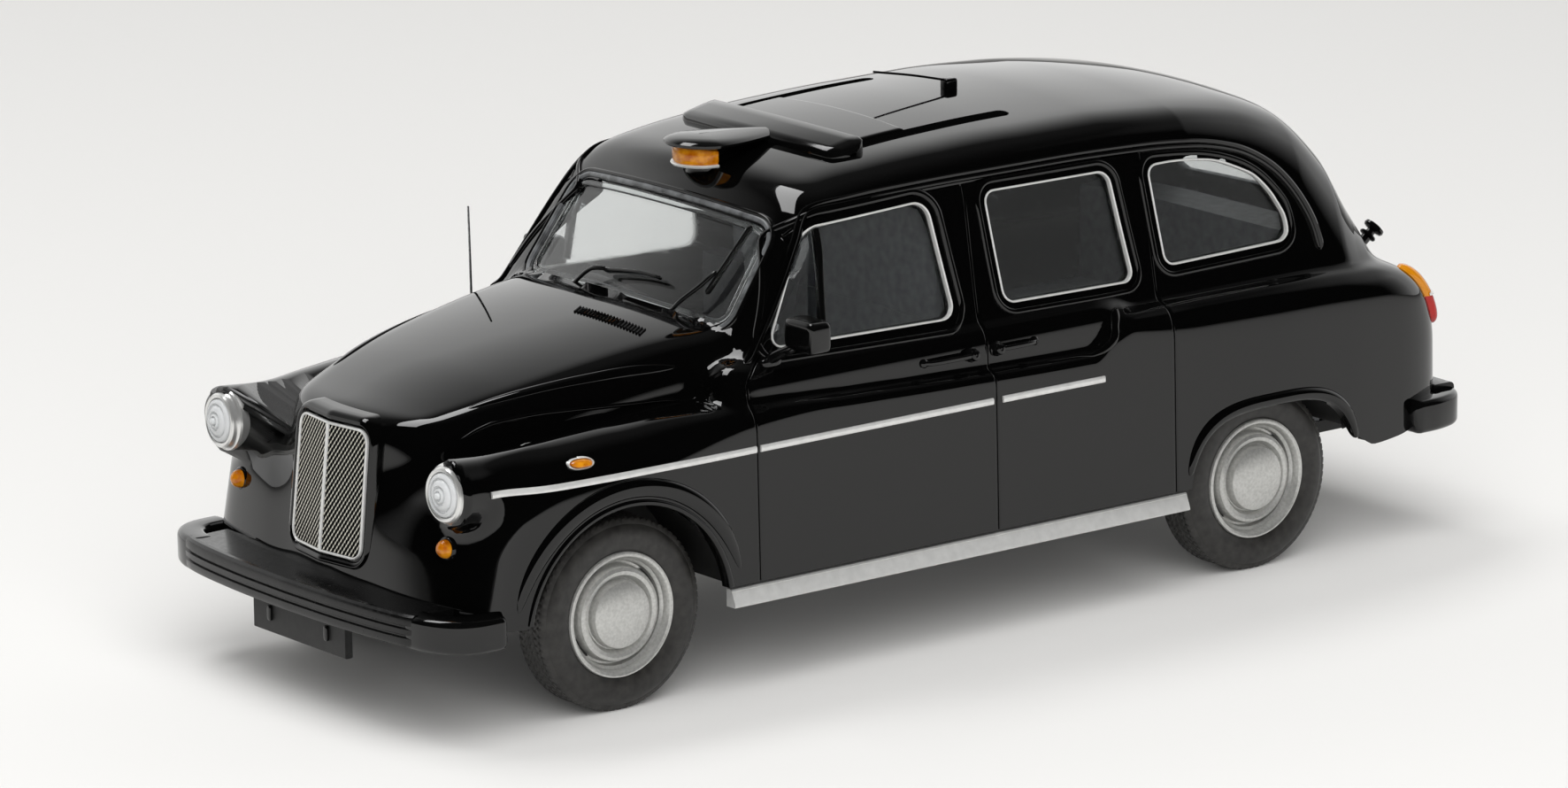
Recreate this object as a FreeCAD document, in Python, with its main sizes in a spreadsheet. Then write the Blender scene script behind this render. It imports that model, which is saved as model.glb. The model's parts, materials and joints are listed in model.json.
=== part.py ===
import FreeCAD, Part
import math
import os
import re

# Scale model (1:43) of a classic purpose-built taxi cab: a cast body shell on a screwed base plate,
# moulded trim and glazing, and two steel axle rods that roll in saddles under the plate.
# Millimetres. +X forward, +Y the car's left, +Z up; the origin is on the ground under the middle
# of the bumper-to-bumper length.

Vec = FreeCAD.Vector
doc = FreeCAD.newDocument("model_taxi")
dims = doc.addObject("Spreadsheet::Sheet", "dims")

DRIVING_SIZES = [
    # alias, size, what it is
    ("front_axle_x", 34.3, "front axle, forward of the middle of the length"),
    ("wheelbase", 65.35, "front axle to rear axle"),
    ("axle_height", 7.73, "axle above the ground, the tyre's radius"),
    ("body_half_width", 19.85, "half the width over the doors"),
    ("sill_height", 8.7, "underside of the body sides"),
    ("roof_height", 40.3, "crown of the roof"),
    ("wall", 1.1, "cast wall of the body shell"),
    ("rod_radius", 0.9, "axle rod"),
    ("rod_play", 0.06, "radial clearance of the rod in its saddles"),
    ("rim_outer_face", 18.0, "outer face of a rim, from the middle"),
    ("tyre_outer_face", 18.2, "outer face of a tyre, from the middle"),
    ("tyre_width", 3.9, "width of a tyre"),
    ("rim_radius", 5.05, "rim's seat inside the tyre"),
    ("front_arch_radius", 9.7, "front wheel arch"),
    ("front_arch_height", 7.4, "centre height of the front arch"),
    ("rear_arch_radius", 9.0, "rear wheel arch"),
    ("rear_arch_height", 5.4, "centre height of the rear arch"),
    ("screen_radius", 40.0, "plan curve of the windscreen"),
    ("screen_foot_x", 22.9, "foot of the windscreen on the centre line"),
    ("screen_foot_z", 27.6, "height of the windscreen's foot"),
    ("glass", 0.7, "moulded glazing"),
    ("fit_gap", 0.06, "gap between a moulding and the shell"),
    ("plate_bottom", 8.9, "underside of the base plate"),
    ("plate_thick", 1.0, "base plate"),
    ("plate_half_width", 13.3, "base plate beside the wheels"),
    ("saddle_width", 2.4, "axle saddle, along the axle"),
    ("floor_thick", 1.0, "floor of the interior tub"),
    ("bumper_front_x", 54.1, "front of the front bumper"),
    ("bumper_rear_x", -54.1, "back of the rear bumper"),
    ("screw_hole_radius", 1.0, "blind holes for the display screws"),
]
for row, (alias, size, note) in enumerate(DRIVING_SIZES, start=1):
    dims.set(f"A{row}", alias)
    dims.set(f"B{row}", str(size))
    dims.set(f"C{row}", note)
    dims.setAlias(f"B{row}", alias)
doc.recompute()
SIZE = {alias: float(dims.get(alias)) for alias, _, _ in DRIVING_SIZES}


def bound(text):
    """An expression on the sheet: every alias in the text gets its sheet's name."""
    return re.sub(r"[a-z_]+", lambda m: "dims." + m[0] if m[0] in SIZE else m[0], str(text))


FRONT = SIZE["front_axle_x"]                     # datum of the nose
REAR = FRONT - SIZE["wheelbase"]                 # datum of the tail
HALF = SIZE["body_half_width"]
SILL = SIZE["sill_height"]
CROWN = SIZE["roof_height"]
WALL = SIZE["wall"]
GAP = SIZE["fit_gap"]
SUB_PARTS = []


def door_x(back):
    """A place between the axles, given as it lies on a wheelbase of 65.35 behind the front axle."""
    return FRONT - back * SIZE["wheelbase"] / 65.35


def new(kind, name, **properties):
    made = doc.addObject(kind, name)
    for key, item in properties.items():
        setattr(made, key, item)
    return made


def place(made, x, y, z):
    for axis, text in zip("xyz", (x, y, z)):
        made.setExpression(f"Placement.Base.{axis}", bound(text))
    return made


def box(name, corner, size):
    """A block from its lowest corner; every number may be an expression on the sheet."""
    made = new("Part::Box", name)
    for key, text in zip(("Length", "Width", "Height"), size):
        made.setExpression(key, bound(text))
    return place(made, *corner)


TURN = {"x": FreeCAD.Rotation(Vec(0, 1, 0), 90), "y": FreeCAD.Rotation(Vec(1, 0, 0), -90),
        "z": FreeCAD.Rotation()}


def rod(name, radius, length, start, along="y"):
    """A cylinder that starts at a point and runs along +X, +Y or +Z."""
    made = new("Part::Cylinder", name)
    made.setExpression("Radius", bound(radius))
    made.setExpression("Height", bound(length))
    made.Placement = FreeCAD.Placement(Vec(), TURN[along])
    return place(made, *start)


def fuse(name, shapes):
    return new("Part::MultiFuse", name, Shapes=shapes, Refine=True)


def cut(name, base, tool):
    return new("Part::Cut", name, Base=base, Tool=tool)


def common(name, shapes):
    return new("Part::MultiCommon", name, Shapes=shapes)


def shape(name, solid):
    """A solid worked out from the sheet's sizes with Part's own functions."""
    made = new("Part::Feature", name)
    made.Shape = solid
    return made


def keep(node, made):
    """Names a finished sub-part; its label is its file's name."""
    made.Label = node
    SUB_PARTS.append(made)
    return made


def both_sides(solid):
    """A solid and its mirror image in the middle plane of the car."""
    return Part.makeCompound([solid, solid.mirror(Vec(), Vec(0, 1, 0))])


# ---------------------------------------------------------------- body: lofts through cross-sections

def section(x, foot, side, shoulder, top):
    """A cross-section at x: flat foot, straight side, round shoulder, crowned top.

    foot and side are (half width, height), shoulder is where the round ends and top is the crown's
    height on the middle line."""
    (yf, zf), (ys, zs), (yt, zt) = foot, side, shoulder
    middle = ((ys + yt) / 2, (zs + zt) / 2)
    bulge = [m + 0.41 * (corner - m) for m, corner in zip(middle, (ys, zt))]

    def at(y, z):
        return Vec(x, y, z)

    edges = [
        Part.LineSegment(at(-yf, zf), at(yf, zf)),
        Part.LineSegment(at(yf, zf), at(ys, zs)),
        Part.Arc(at(ys, zs), at(*bulge), at(yt, zt)),
        Part.Arc(at(yt, zt), at(0, top), at(-yt, zt)),
        Part.Arc(at(-yt, zt), at(-bulge[0], bulge[1]), at(-ys, zs)),
        Part.LineSegment(at(-ys, zs), at(-yf, zf)),
    ]
    return Part.Wire([edge.toShape() for edge in edges])


def lofted(stations, inset=0.0):
    """A ruled loft through the stations; inset shrinks it evenly, its open foot apart."""
    wires = []
    middle = sum(s[0] for s in stations) / len(stations)
    for place_x, (x, (yf, zf), (ys, zs), (yt, zt), top) in enumerate(stations):
        if place_x in (0, len(stations) - 1):
            x -= math.copysign(inset, x - middle)
        drop = 0.0 if inset == 0 else 0.3
        wires.append(section(x, (yf - inset, zf - drop), (ys - inset, zs - 0.3 * inset),
                             (yt - 0.4 * inset, zt - inset), top - inset))
    return Part.makeLoft(wires, True, True)


# Each station: x, foot (y, z), top of the straight side (y, z), end of the shoulder (y, z), crown z.
FLANK = [
    (FRONT + 13.9, (16.2, SILL), (16.2, 19.6), (14.2, 21.4), 21.5),
    (FRONT + 13.0, (18.1, SILL), (18.1, 19.6), (15.3, 21.9), 22.0),
    (FRONT + 10.5, (HALF - 0.7, SILL), (HALF - 0.7, 19.7), (15.6, 22.5), 22.6),
    (FRONT + 5.0, (HALF - 0.1, SILL), (HALF - 0.1, 20.0), (15.9, 23.0), 23.1),
    (FRONT - 0.5, (HALF, SILL), (HALF, 20.2), (16.2, 23.1), 23.2),
    (door_x(12.0), (HALF, SILL), (HALF, 21.3), (18.2, 22.9), 23.0),
    (door_x(36.0), (HALF, SILL), (HALF, 21.1), (18.3, 21.8), 21.9),
    (door_x(47.0), (HALF, SILL), (HALF, 21.0), (18.3, 21.7), 21.8),
    (door_x(50.5), (HALF + 0.1, SILL), (HALF, 21.4), (17.3, 24.4), 24.5),
    (REAR + 5.0, (HALF + 0.2, SILL), (HALF - 0.1, 20.8), (17.2, 24.4), 24.5),
    (REAR - 5.0, (HALF + 0.1, SILL), (HALF - 0.2, 20.6), (16.9, 24.2), 24.3),
    (REAR - 12.5, (HALF - 0.5, SILL), (HALF - 0.8, 20.0), (16.2, 23.6), 23.7),
    (REAR - 17.5, (HALF - 1.3, SILL + 1.0), (HALF - 1.6, 19.3), (14.5, 22.8), 23.2),
    (REAR - 20.2, (HALF - 2.4, SILL + 1.5), (HALF - 2.8, 18.6), (13.5, 21.4), 21.9),
    (REAR - 21.8, (HALF - 4.6, SILL + 2.0), (HALF - 5.0, 17.4), (11.5, 19.4), 19.8),
]
WAIST = [
    (door_x(9.6), (17.8, SILL + 6), (17.8, 23.0), (15.2, 24.6), 25.2),
    (door_x(13.0), (18.6, SILL + 6), (18.6, 24.2), (17.2, 25.5), 26.0),
    (door_x(50.0), (18.6, SILL + 6), (18.6, 24.2), (17.2, 25.5), 26.0),
    (REAR - 4.0, (17.6, SILL + 6), (17.6, 24.2), (16.8, 25.2), 25.8),
]
BONNET = [
    (FRONT + 14.6, (8.5, SILL + 2), (8.5, 20.8), (6.5, 22.0), 22.5),
    (FRONT + 10.0, (11.8, SILL + 2), (11.8, 21.8), (9.0, 23.6), 24.2),
    (FRONT + 4.0, (13.4, SILL + 2), (13.4, 22.6), (11.0, 25.0), 25.9),
    (FRONT - 3.0, (13.9, SILL + 2), (13.9, 22.9), (11.8, 26.1), 27.1),
    (FRONT - 9.0, (14.4, SILL + 2), (14.4, 23.3), (12.2, 26.9), 27.9),
    (FRONT - 14.0, (15.0, SILL + 2), (15.0, 24.0), (13.0, 26.9), 27.9),
]
CABIN = [
    (FRONT - 9.0, (18.1, 20.0), (14.9, 32.6), (11.0, 35.0), 36.0),
    (FRONT - 16.0, (18.2, 20.0), (15.2, 34.9), (11.6, 37.0), CROWN - 2.4),
    (FRONT - 24.0, (18.3, 20.0), (15.3, 36.0), (11.8, 38.3), CROWN - 0.9),
    (door_x(36.0), (18.3, 20.0), (15.4, 36.5), (11.9, 39.2), CROWN - 0.1),
    (door_x(46.0), (18.3, 20.0), (15.4, 36.5), (11.9, 39.3), CROWN),
    (door_x(57.0), (18.1, 20.0), (15.2, 36.2), (11.8, 39.0), CROWN - 0.1),
    (REAR - 1.0, (17.8, 20.0), (14.9, 35.2), (11.4, 38.1), CROWN - 1.1),
    (REAR - 6.5, (17.3, 20.0), (14.6, 33.2), (10.9, 36.3), CROWN - 2.7),
    (REAR - 10.5, (16.6, 20.0), (14.2, 30.6), (10.3, 33.0), CROWN - 6.2),
    (REAR - 13.8, (15.7, 20.0), (13.7, 27.0), (9.8, 28.8), CROWN - 10.9),
    (REAR - 16.8, (14.2, 19.5), (13.0, 23.6), (9.0, 24.9), CROWN - 14.9),
    (REAR - 18.8, (12.5, 19.0), (11.5, 21.4), (8.0, 22.4), CROWN - 17.6),
]
SCREEN_LEAN = math.atan2(6.0, 8.1)               # the windscreen leans back this far from upright


def screen_barrel(inset):
    """A leaning cylinder whose front wall is the windscreen's surface, moved in by inset."""
    radius = SIZE["screen_radius"]
    back = Vec(-math.cos(SCREEN_LEAN), 0, -math.sin(SCREEN_LEAN))
    along = Vec(-math.sin(SCREEN_LEAN), 0, math.cos(SCREEN_LEAN))
    foot = Vec(SIZE["screen_foot_x"], 0, SIZE["screen_foot_z"])
    barrel = Part.makeCylinder(radius - inset, 60, foot + back * radius - along * 25, along)
    behind = Part.makeBox(80, 60, 60, Vec(-60, -30, 0))
    return barrel.fuse(behind).removeSplitter()


def cabin_solid(inset):
    return lofted(CABIN, inset).common(screen_barrel(inset))


def body_solid(inset=0.0):
    solid = lofted(FLANK, inset)
    for stations in (WAIST, BONNET):
        solid = solid.fuse(lofted(stations, inset))
    return solid.fuse(cabin_solid(inset)).removeSplitter()


def window_prism(corners, radius, y_low, y_high):
    """A prism along Y over a polygon in the side view with its corners rounded."""
    points = [Vec(x, y_low, z) for x, z in corners]
    edges, count = [], len(points)
    starts, ends = [], []
    for i in range(count):
        before, here, after = points[i - 1], points[i], points[(i + 1) % count]
        a, b = (before - here).normalize(), (after - here).normalize()
        half = a.getAngle(b) / 2
        reach = radius / math.tan(half)
        centre = here + (a + b).normalize() * (radius / math.sin(half))
        first, last = here + a * reach, here + b * reach
        edges.append(Part.Arc(first, centre + (here - centre).normalize() * radius, last).toShape())
        starts.append(first)
        ends.append(last)
    lines = [Part.LineSegment(ends[i - 1], starts[i]).toShape() for i in range(count)]
    wire = Part.Wire([edge for pair in zip(lines, edges) for edge in pair])
    return Part.Face(wire).extrude(Vec(0, y_high - y_low, 0))


def grown(corners, by):
    """The polygon with every corner moved away from its middle by about the given distance."""
    mx = sum(x for x, _ in corners) / len(corners)
    mz = sum(z for _, z in corners) / len(corners)
    return [(x + by * math.copysign(1, x - mx), z + by * math.copysign(1, z - mz)) for x, z in corners]


# Side windows in the side view: (x, z) corners and the corners' radius.
SIDE_WINDOWS = {
    "front_door": ([(door_x(15.8), 26.5), (door_x(20.3), 35.8), (door_x(33.3), 35.9),
                    (door_x(35.0), 26.3)], 1.2),
    "rear_door": ([(door_x(38.4), 26.5), (door_x(37.5), 36.2), (door_x(51.6), 35.9),
                   (door_x(52.7), 26.3)], 1.0),
    "quarter": ([(door_x(55.6), 27.0), (door_x(54.6), 35.8), (REAR + 1.6, 35.0), (REAR - 2.6, 32.6),
                 (REAR - 4.3, 29.4), (REAR - 3.9, 27.2)], 0.9),
}


def side_holes(by, y_low=10.0, y_high=22.0):
    prisms = [window_prism(grown(corners, by), radius + by, y_low, y_high)
              for corners, radius in SIDE_WINDOWS.values()]
    return [both_sides(prism) for prism in prisms]


def front_hole(by):
    """The windscreen's opening, a rounded prism square to the glass."""
    along = Vec(-math.sin(SCREEN_LEAN), 0, math.cos(SCREEN_LEAN))
    foot = Vec(SIZE["screen_foot_x"], 0, SIZE["screen_foot_z"])
    outline = window_prism([(-12.9 - by, 0.9 - by), (-12.0 - by, 8.9 + by), (12.0 + by, 8.9 + by),
                            (12.9 + by, 0.9 - by)], 1.6, -8, 8)
    axes = FreeCAD.Matrix(0, along.z, along.x, foot.x, 1, 0, 0, 0, 0, -along.x, along.z, foot.z)
    return outline.transformGeometry(axes)


def rear_hole(by):
    """The rear window's opening, a rounded prism along X."""
    outline = window_prism([(-8.6 - by, 28.2 - by), (-8.0 - by, 33.6 + by), (8.0 + by, 33.6 + by),
                            (8.6 + by, 28.2 - by)], 1.8, REAR - 16, REAR - 5)
    axes = FreeCAD.Matrix(0, 1, 0, 0, -1, 0, 0, 0, 0, 0, 1, 0)
    return outline.transformGeometry(axes)


def arch(x, z, radius):
    return Part.makeCylinder(radius, 60, Vec(x, -30, z), Vec(0, 1, 0))


OUTER = body_solid()
CAVITY = body_solid(WALL)
body_outer = shape("body_outer", OUTER)
hollow = OUTER.cut(CAVITY)
holes = side_holes(0) + [front_hole(0), rear_hole(0)]
arches = [arch(FRONT + 0.3, SIZE["front_arch_height"], SIZE["front_arch_radius"]),
          arch(REAR, SIZE["rear_arch_height"], SIZE["rear_arch_radius"])]
shell = hollow
for tool in holes + arches:
    shell = shell.cut(tool)
keep("body_shell", shape("body_shell", shell))


def outside(solid):
    """What is left of a trim piece outside the body's skin."""
    left = solid.cut(OUTER)
    return Part.makeCompound([s for s in left.Solids if s.Volume > 0.005])


# ---------------------------------------------------------------- glazing

def pane(skin, hole, flange, inner):
    """Clear plate: it fills a hole almost flush and carries a flange behind the shell's wall."""
    plug = skin(0.12).cut(skin(WALL)).common(hole)
    plate = skin(WALL + GAP).cut(skin(WALL + GAP + inner)).common(flange)
    back = skin(WALL - 0.01).cut(skin(WALL + GAP + inner)).common(hole)
    return plug.fuse([back, plate]).removeSplitter()


def biggest(solid, test=lambda s: True):
    return max((s for s in solid.Solids if test(s)), key=lambda s: s.Volume)


left_flange = window_prism([(door_x(14.6), 25.6), (door_x(19.6), 36.0), (REAR - 2.0, 36.0),
                            (REAR - 5.3, 26.2)], 1.0, 10, 22)
left_holes = side_holes(-GAP)
hole_tool = left_holes[0].fuse(left_holes[1:])
side_pane = pane(cabin_solid, hole_tool, left_flange, SIZE["glass"])
left_pane = biggest(side_pane, lambda s: s.CenterOfMass.y > 0)
right_pane = left_pane.mirror(Vec(), Vec(0, 1, 0))
keep("side_glazing_left", shape("side_glazing_left", left_pane))
keep("side_glazing_right", shape("side_glazing_right", right_pane))
screen = pane(cabin_solid, front_hole(-GAP), front_hole(0.7), SIZE["glass"])
keep("windscreen_glass", shape("windscreen_glass", biggest(screen).cut(side_pane)))
back_glass = pane(cabin_solid, rear_hole(-GAP), rear_hole(0.7), SIZE["glass"])
keep("rear_window_glass", shape("rear_window_glass", biggest(back_glass)))


def band(hole_big, hole_small, stand):
    """A raised moulding around an opening, standing on the skin."""
    ring = cabin_solid(-stand).cut(OUTER).common(hole_big).cut(hole_small)
    return Part.makeCompound([s for s in ring.Solids if s.Volume > 0.02])


mouldings = [band(big, small, 0.12) for big, small in zip(side_holes(0.3), side_holes(0.0))]
keep("window_mouldings", shape("window_mouldings", Part.makeCompound(mouldings)))
keep("windscreen_seal", shape("windscreen_seal", band(front_hole(0.75), front_hole(0.0), 0.2)))
keep("rear_window_seal", shape("rear_window_seal", band(rear_hole(0.6), rear_hole(0.0), 0.2)))

# ---------------------------------------------------------------- base plate and axle sets

REAR_X = "front_axle_x - wheelbase"
PLATE_TOP = "plate_bottom + plate_thick"
blanks = [
    box("plate_nose", ("front_axle_x - 11.5", "-plate_half_width", "plate_bottom"),
        ("24", "2 * plate_half_width", "plate_thick")),
    box("plate_middle", (REAR_X + " + 9.6", "wall + 0.2 - body_half_width", "plate_bottom"),
        ("wheelbase - 20", "2 * (body_half_width - wall - 0.2)", "plate_thick")),
    box("plate_tail", (REAR_X + " - 18.5", "-plate_half_width", "plate_bottom"),
        ("29", "2 * plate_half_width", "plate_thick")),
    box("sump", ("front_axle_x - 13", "-4", "plate_bottom - 3"), ("9.5", "8", "3.2")),
    box("gearbox", ("front_axle_x - 22", "-2.5", "plate_bottom - 2"), ("10", "5", "2.2")),
    box("fuel_tank", (REAR_X + " - 16.5", "-7", "plate_bottom - 2"), ("9", "14", "2.2")),
    rod("propeller_shaft", "0.7", "wheelbase - 26", (REAR_X + " + 4", "0", "plate_bottom - 0.3"), "x"),
]
for end, axle in (("front", "front_axle_x"), ("rear", REAR_X)):
    for side, y in (("left", "plate_half_width - saddle_width"), ("right", "-plate_half_width")):
        blanks.append(box(f"{end}_{side}_saddle", (axle + " - 2.2", y, "axle_height - 1.7"),
                          ("4.4", "saddle_width", "plate_bottom - axle_height + 1.8")))
for y in ("-9.5", "8.5"):
    for x in ("front_axle_x - 22", REAR_X + " + 5"):
        blanks.append(box("leaf_spring", (x, y, "plate_bottom - 0.9"), ("17", "1", "1")))
for x in ("front_axle_x - 30", REAR_X + " + 14"):
    blanks.append(rod("screw_boss", "2.4", "2", (x, "0", "plate_bottom - 1.6"), "z"))
plate_blank = fuse("plate_blank", blanks)
cutters = []
for end, axle in (("front", "front_axle_x"), ("rear", REAR_X)):
    cutters.append(rod(f"{end}_bearing", "rod_radius + rod_play", "40", (axle, "-20", "axle_height")))
    cutters.append(box(f"{end}_clearance", (axle + " - 1.7", "saddle_width - plate_half_width",
                                            "axle_height - 1.8"),
                       ("3.4", "2 * (plate_half_width - saddle_width)", "3.2")))
for x in ("front_axle_x - 30", REAR_X + " + 14"):
    cutters.append(rod("display_hole", "screw_hole_radius", "2.2", (x, "0", "plate_bottom - 1.7"), "z"))
keep("base_plate", cut("base_plate", plate_blank, fuse("plate_cutters", cutters)))

for end, axle in (("front", "front_axle_x"), ("rear", REAR_X)):
    shaft = rod(f"{end}_axle_rod", "rod_radius", "2 * (rim_outer_face - 0.6)",
                (axle, "0.6 - rim_outer_face", "axle_height"))
    keep(f"{end}_axle_rod", shaft)
    rims, tyres = [], []
    for side, inner, hub in (("left", "rim_outer_face - tyre_width + 0.3", "rim_outer_face - 0.6"),
                             ("right", "-rim_outer_face", "0.1 - rim_outer_face")):
        tag = f"{end}_{side}"
        disc = rod(tag + "_rim_drum", "rim_radius", "tyre_width - 0.3", (axle, inner, "axle_height"))
        hub_side = "rim_outer_face - 0.5" if side == "left" else "-rim_outer_face - 0.4"
        cap = rod(tag + "_cap", "2.1", "0.9", (axle, hub_side, "axle_height"))
        dish_y = "rim_outer_face - 0.5" if side == "left" else "-rim_outer_face"
        dish = rod(tag + "_dish", "rim_radius - 0.7", "0.5", (axle, dish_y, "axle_height"))
        back_y = "rim_outer_face - tyre_width" if side == "left" else "1.3 - rim_outer_face"
        back = rod(tag + "_back", "rim_radius - 0.8", "tyre_width - 1.3", (axle, back_y, "axle_height"))
        hub_y = "rim_outer_face - tyre_width + 0.3" if side == "left" else "-rim_outer_face"
        boss = rod(tag + "_boss", "2", "tyre_width - 0.9",
                   (axle, "rim_outer_face - tyre_width + 0.3" if side == "left"
                    else "0.6 - rim_outer_face", "axle_height"))
        bowl = cut(tag + "_bowl", cut(tag + "_dished", disc, dish), back)
        bored = cut(tag + "_bored", fuse(tag + "_rim_blank", [bowl, boss, cap]),
                    rod(tag + "_bore", "rod_radius", "2 * (rim_outer_face - 0.6)",
                        (axle, "0.6 - rim_outer_face", "axle_height")))
        rims.append(bored)
        tread_y = "tyre_outer_face - tyre_width" if side == "left" else "-tyre_outer_face"
        tread = rod(tag + "_tread", "axle_height", "tyre_width", (axle, tread_y, "axle_height"))
        rounded = new("Part::Fillet", tag + "_carcass", Base=tread, Edges=[(1, 0.8, 0.8), (3, 0.8, 0.8)])
        seat = rod(tag + "_seat", "rim_radius", "tyre_width + 2", (axle, tread_y + " - 1", "axle_height"))
        tyres.append(cut(tag + "_tyre", rounded, seat))
    keep(f"{end}_rims", new("Part::Compound", f"{end}_rims", Links=rims))
    keep(f"{end}_tyres", new("Part::Compound", f"{end}_tyres", Links=tyres))

# ---------------------------------------------------------------- interior

FLOOR = SIZE["plate_bottom"] + SIZE["plate_thick"]
tub_blanks = [
    box("tub_floor", ("front_axle_x - 56.5", "-15.4", PLATE_TOP), ("41", "30.8", "floor_thick")),
    box("tub_tail", ("front_axle_x - 76.5", "-13.2", PLATE_TOP), ("20.1", "26.4", "floor_thick")),
    box("bench", ("front_axle_x - 75", "-13", PLATE_TOP), ("12", "26", "8.5")),
    box("bench_back", ("front_axle_x - 76.5", "-13", PLATE_TOP), ("4.5", "26", "17")),
    box("partition", ("front_axle_x - 36", "-14.2", PLATE_TOP), ("1", "28.4", "15")),
    box("partition_head", ("front_axle_x - 36", "-13.2", PLATE_TOP + " + 14.9"), ("0.8", "26.4", "9")),
    box("dash_wall", ("front_axle_x - 16.6", "-14.2", PLATE_TOP), ("1", "28.4", "11")),
    box("dash_board", ("front_axle_x - 18.6", "-14", PLATE_TOP + " + 10.5"), ("3", "28", "4.2")),
]
room = shape("room_inside", body_solid(WALL + 0.2))
keep("interior_tub", common("interior_tub", [fuse("tub_blank", tub_blanks), room]))
seat_blanks = [
    box("seat_base", ("front_axle_x - 31.5", "-11.6", PLATE_TOP + " + floor_thick"), ("8", "8.4", "6.5")),
    box("seat_back", ("front_axle_x - 33", "-11.6", PLATE_TOP + " + floor_thick"), ("2.2", "8.4", "16")),
]
keep("driver_seat", fuse("driver_seat", seat_blanks))
lean = FreeCAD.Rotation(Vec(0, 1, 0), -60)
wheel_hub = Vec(FRONT - 20.6, -7.6, FLOOR + 15.2)
ring = Part.makeTorus(3.9, 0.3)
spokes = [Part.makeBox(7.6, 0.6, 0.4, Vec(-3.8, -0.3, -0.2)), Part.makeBox(0.6, 3.9, 0.4, Vec(-0.3, -3.8, -0.2))]
column = Part.makeCylinder(0.45, 4.6, Vec(0, 0, -4.6))
steering = ring.fuse(spokes + [column])
steering.Placement = FreeCAD.Placement(wheel_hub, FreeCAD.Rotation(Vec(0, 1, 0), -35))
steering = steering.cut(Part.makeBox(3.2, 30, 6, Vec(FRONT - 18.6, -15, FLOOR + 10.4)))
keep("steering_wheel", shape("steering_wheel", biggest(steering)))

# ---------------------------------------------------------------- nose: grille and lamps

def prow(x_side, x_middle, y_side, z_low, z_high, lean_back):
    """A V-fronted block: the front is furthest forward on the middle line and leans back upward."""
    low = [Vec(x_side - 6, -y_side, z_low), Vec(x_side, -y_side, z_low), Vec(x_middle, 0, z_low),
           Vec(x_side, y_side, z_low), Vec(x_side - 6, y_side, z_low)]
    high = [Vec(p.x - lean_back, p.y, z_high) for p in low]
    return Part.makeLoft([Part.makePolygon(low + low[:1]), Part.makePolygon(high + high[:1])], True, True)


surround = prow(FRONT + 15.3, FRONT + 16.8, 5.9, 11.0, 22.6, 1.2)
opening = prow(FRONT + 17.3, FRONT + 18.8, 4.85, 12.0, 21.8, 1.2)
keep("grille_surround", shape("grille_surround", biggest(outside(surround.cut(opening)))))
mesh_face = prow(FRONT + 14.9, FRONT + 16.4, 4.82, 12.05, 21.75, 1.2)
keep("grille_mesh", shape("grille_mesh", biggest(outside(mesh_face))))


def lamp(x, y, z, radius, depth, dome):
    """A round lamp body along X with a domed face."""
    body = Part.makeCylinder(radius, depth, Vec(x - depth, y, z), Vec(1, 0, 0))
    ball = (radius * radius + dome * dome) / (2 * dome)
    cap = Part.makeSphere(ball, Vec(x + dome - ball, y, z))
    return body.fuse(cap.common(Part.makeCylinder(radius, dome + 0.1, Vec(x - 0.05, y, z), Vec(1, 0, 0))))


lens_x, lens_y, lens_z = FRONT + 14.9, 15.38, 19.36
bezels = Part.makeCylinder(2.95, 2.2, Vec(lens_x - 2.4, lens_y, lens_z), Vec(1, 0, 0))
bezels = bezels.cut(Part.makeCylinder(2.35, 3, Vec(lens_x - 0.9, lens_y, lens_z), Vec(1, 0, 0)))
keep("headlamp_bezels", shape("headlamp_bezels", both_sides(biggest(outside(bezels)))))
lens = lamp(lens_x - 0.2, lens_y, lens_z, 2.3, 0.68, 0.55)
keep("headlamp_lenses", shape("headlamp_lenses", both_sides(lens)))
cup = Part.makeCylinder(1.5, 1.2, Vec(FRONT + 13.4, 14.13, 14.67), Vec(1, 0, 0))
keep("indicator_bases", shape("indicator_bases", both_sides(biggest(outside(cup)))))
amber = lamp(FRONT + 14.75, 14.13, 14.67, 1.2, 0.15, 0.75)
keep("front_indicators", shape("front_indicators", both_sides(amber)))
blinker = Part.makeSphere(1.0, Vec(FRONT + 4.39, HALF - 0.42, 20.85))
stretch = FreeCAD.Matrix()
keep("side_repeaters", shape("side_repeaters", both_sides(biggest(outside(blinker)))))
tail = Part.makeBox(4.5, 3.0, 5.3, Vec(REAR - 20.8, 15.5, 17.8))
tail = tail.makeFillet(1.2, tail.Edges)
keep("tail_lamps", shape("tail_lamps", both_sides(biggest(outside(tail)))))

# ---------------------------------------------------------------- bumpers and plates

def blade(x_end, x_middle, half, depth, z_low, z_high, wrap, sign):
    """A bumper blade bowed in plan, its ends wrapping round the corners of the body."""
    def arc(offset):
        return Part.Arc(Vec(x_end - sign * offset, -half + offset * 0.2, z_low),
                        Vec(x_middle - sign * offset, 0, z_low),
                        Vec(x_end - sign * offset, half - offset * 0.2, z_low))
    outer, inner = arc(0.0), arc(depth)
    ends = [Part.LineSegment(outer.EndPoint, inner.EndPoint), Part.LineSegment(inner.StartPoint, outer.StartPoint)]
    edges = [outer.toShape(), ends[0].toShape(), inner.toShape(), ends[1].toShape()]
    face = Part.Face(Part.Wire(Part.__sortEdges__(edges)))
    bar = face.extrude(Vec(0, 0, z_high - z_low))
    return bar


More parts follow.
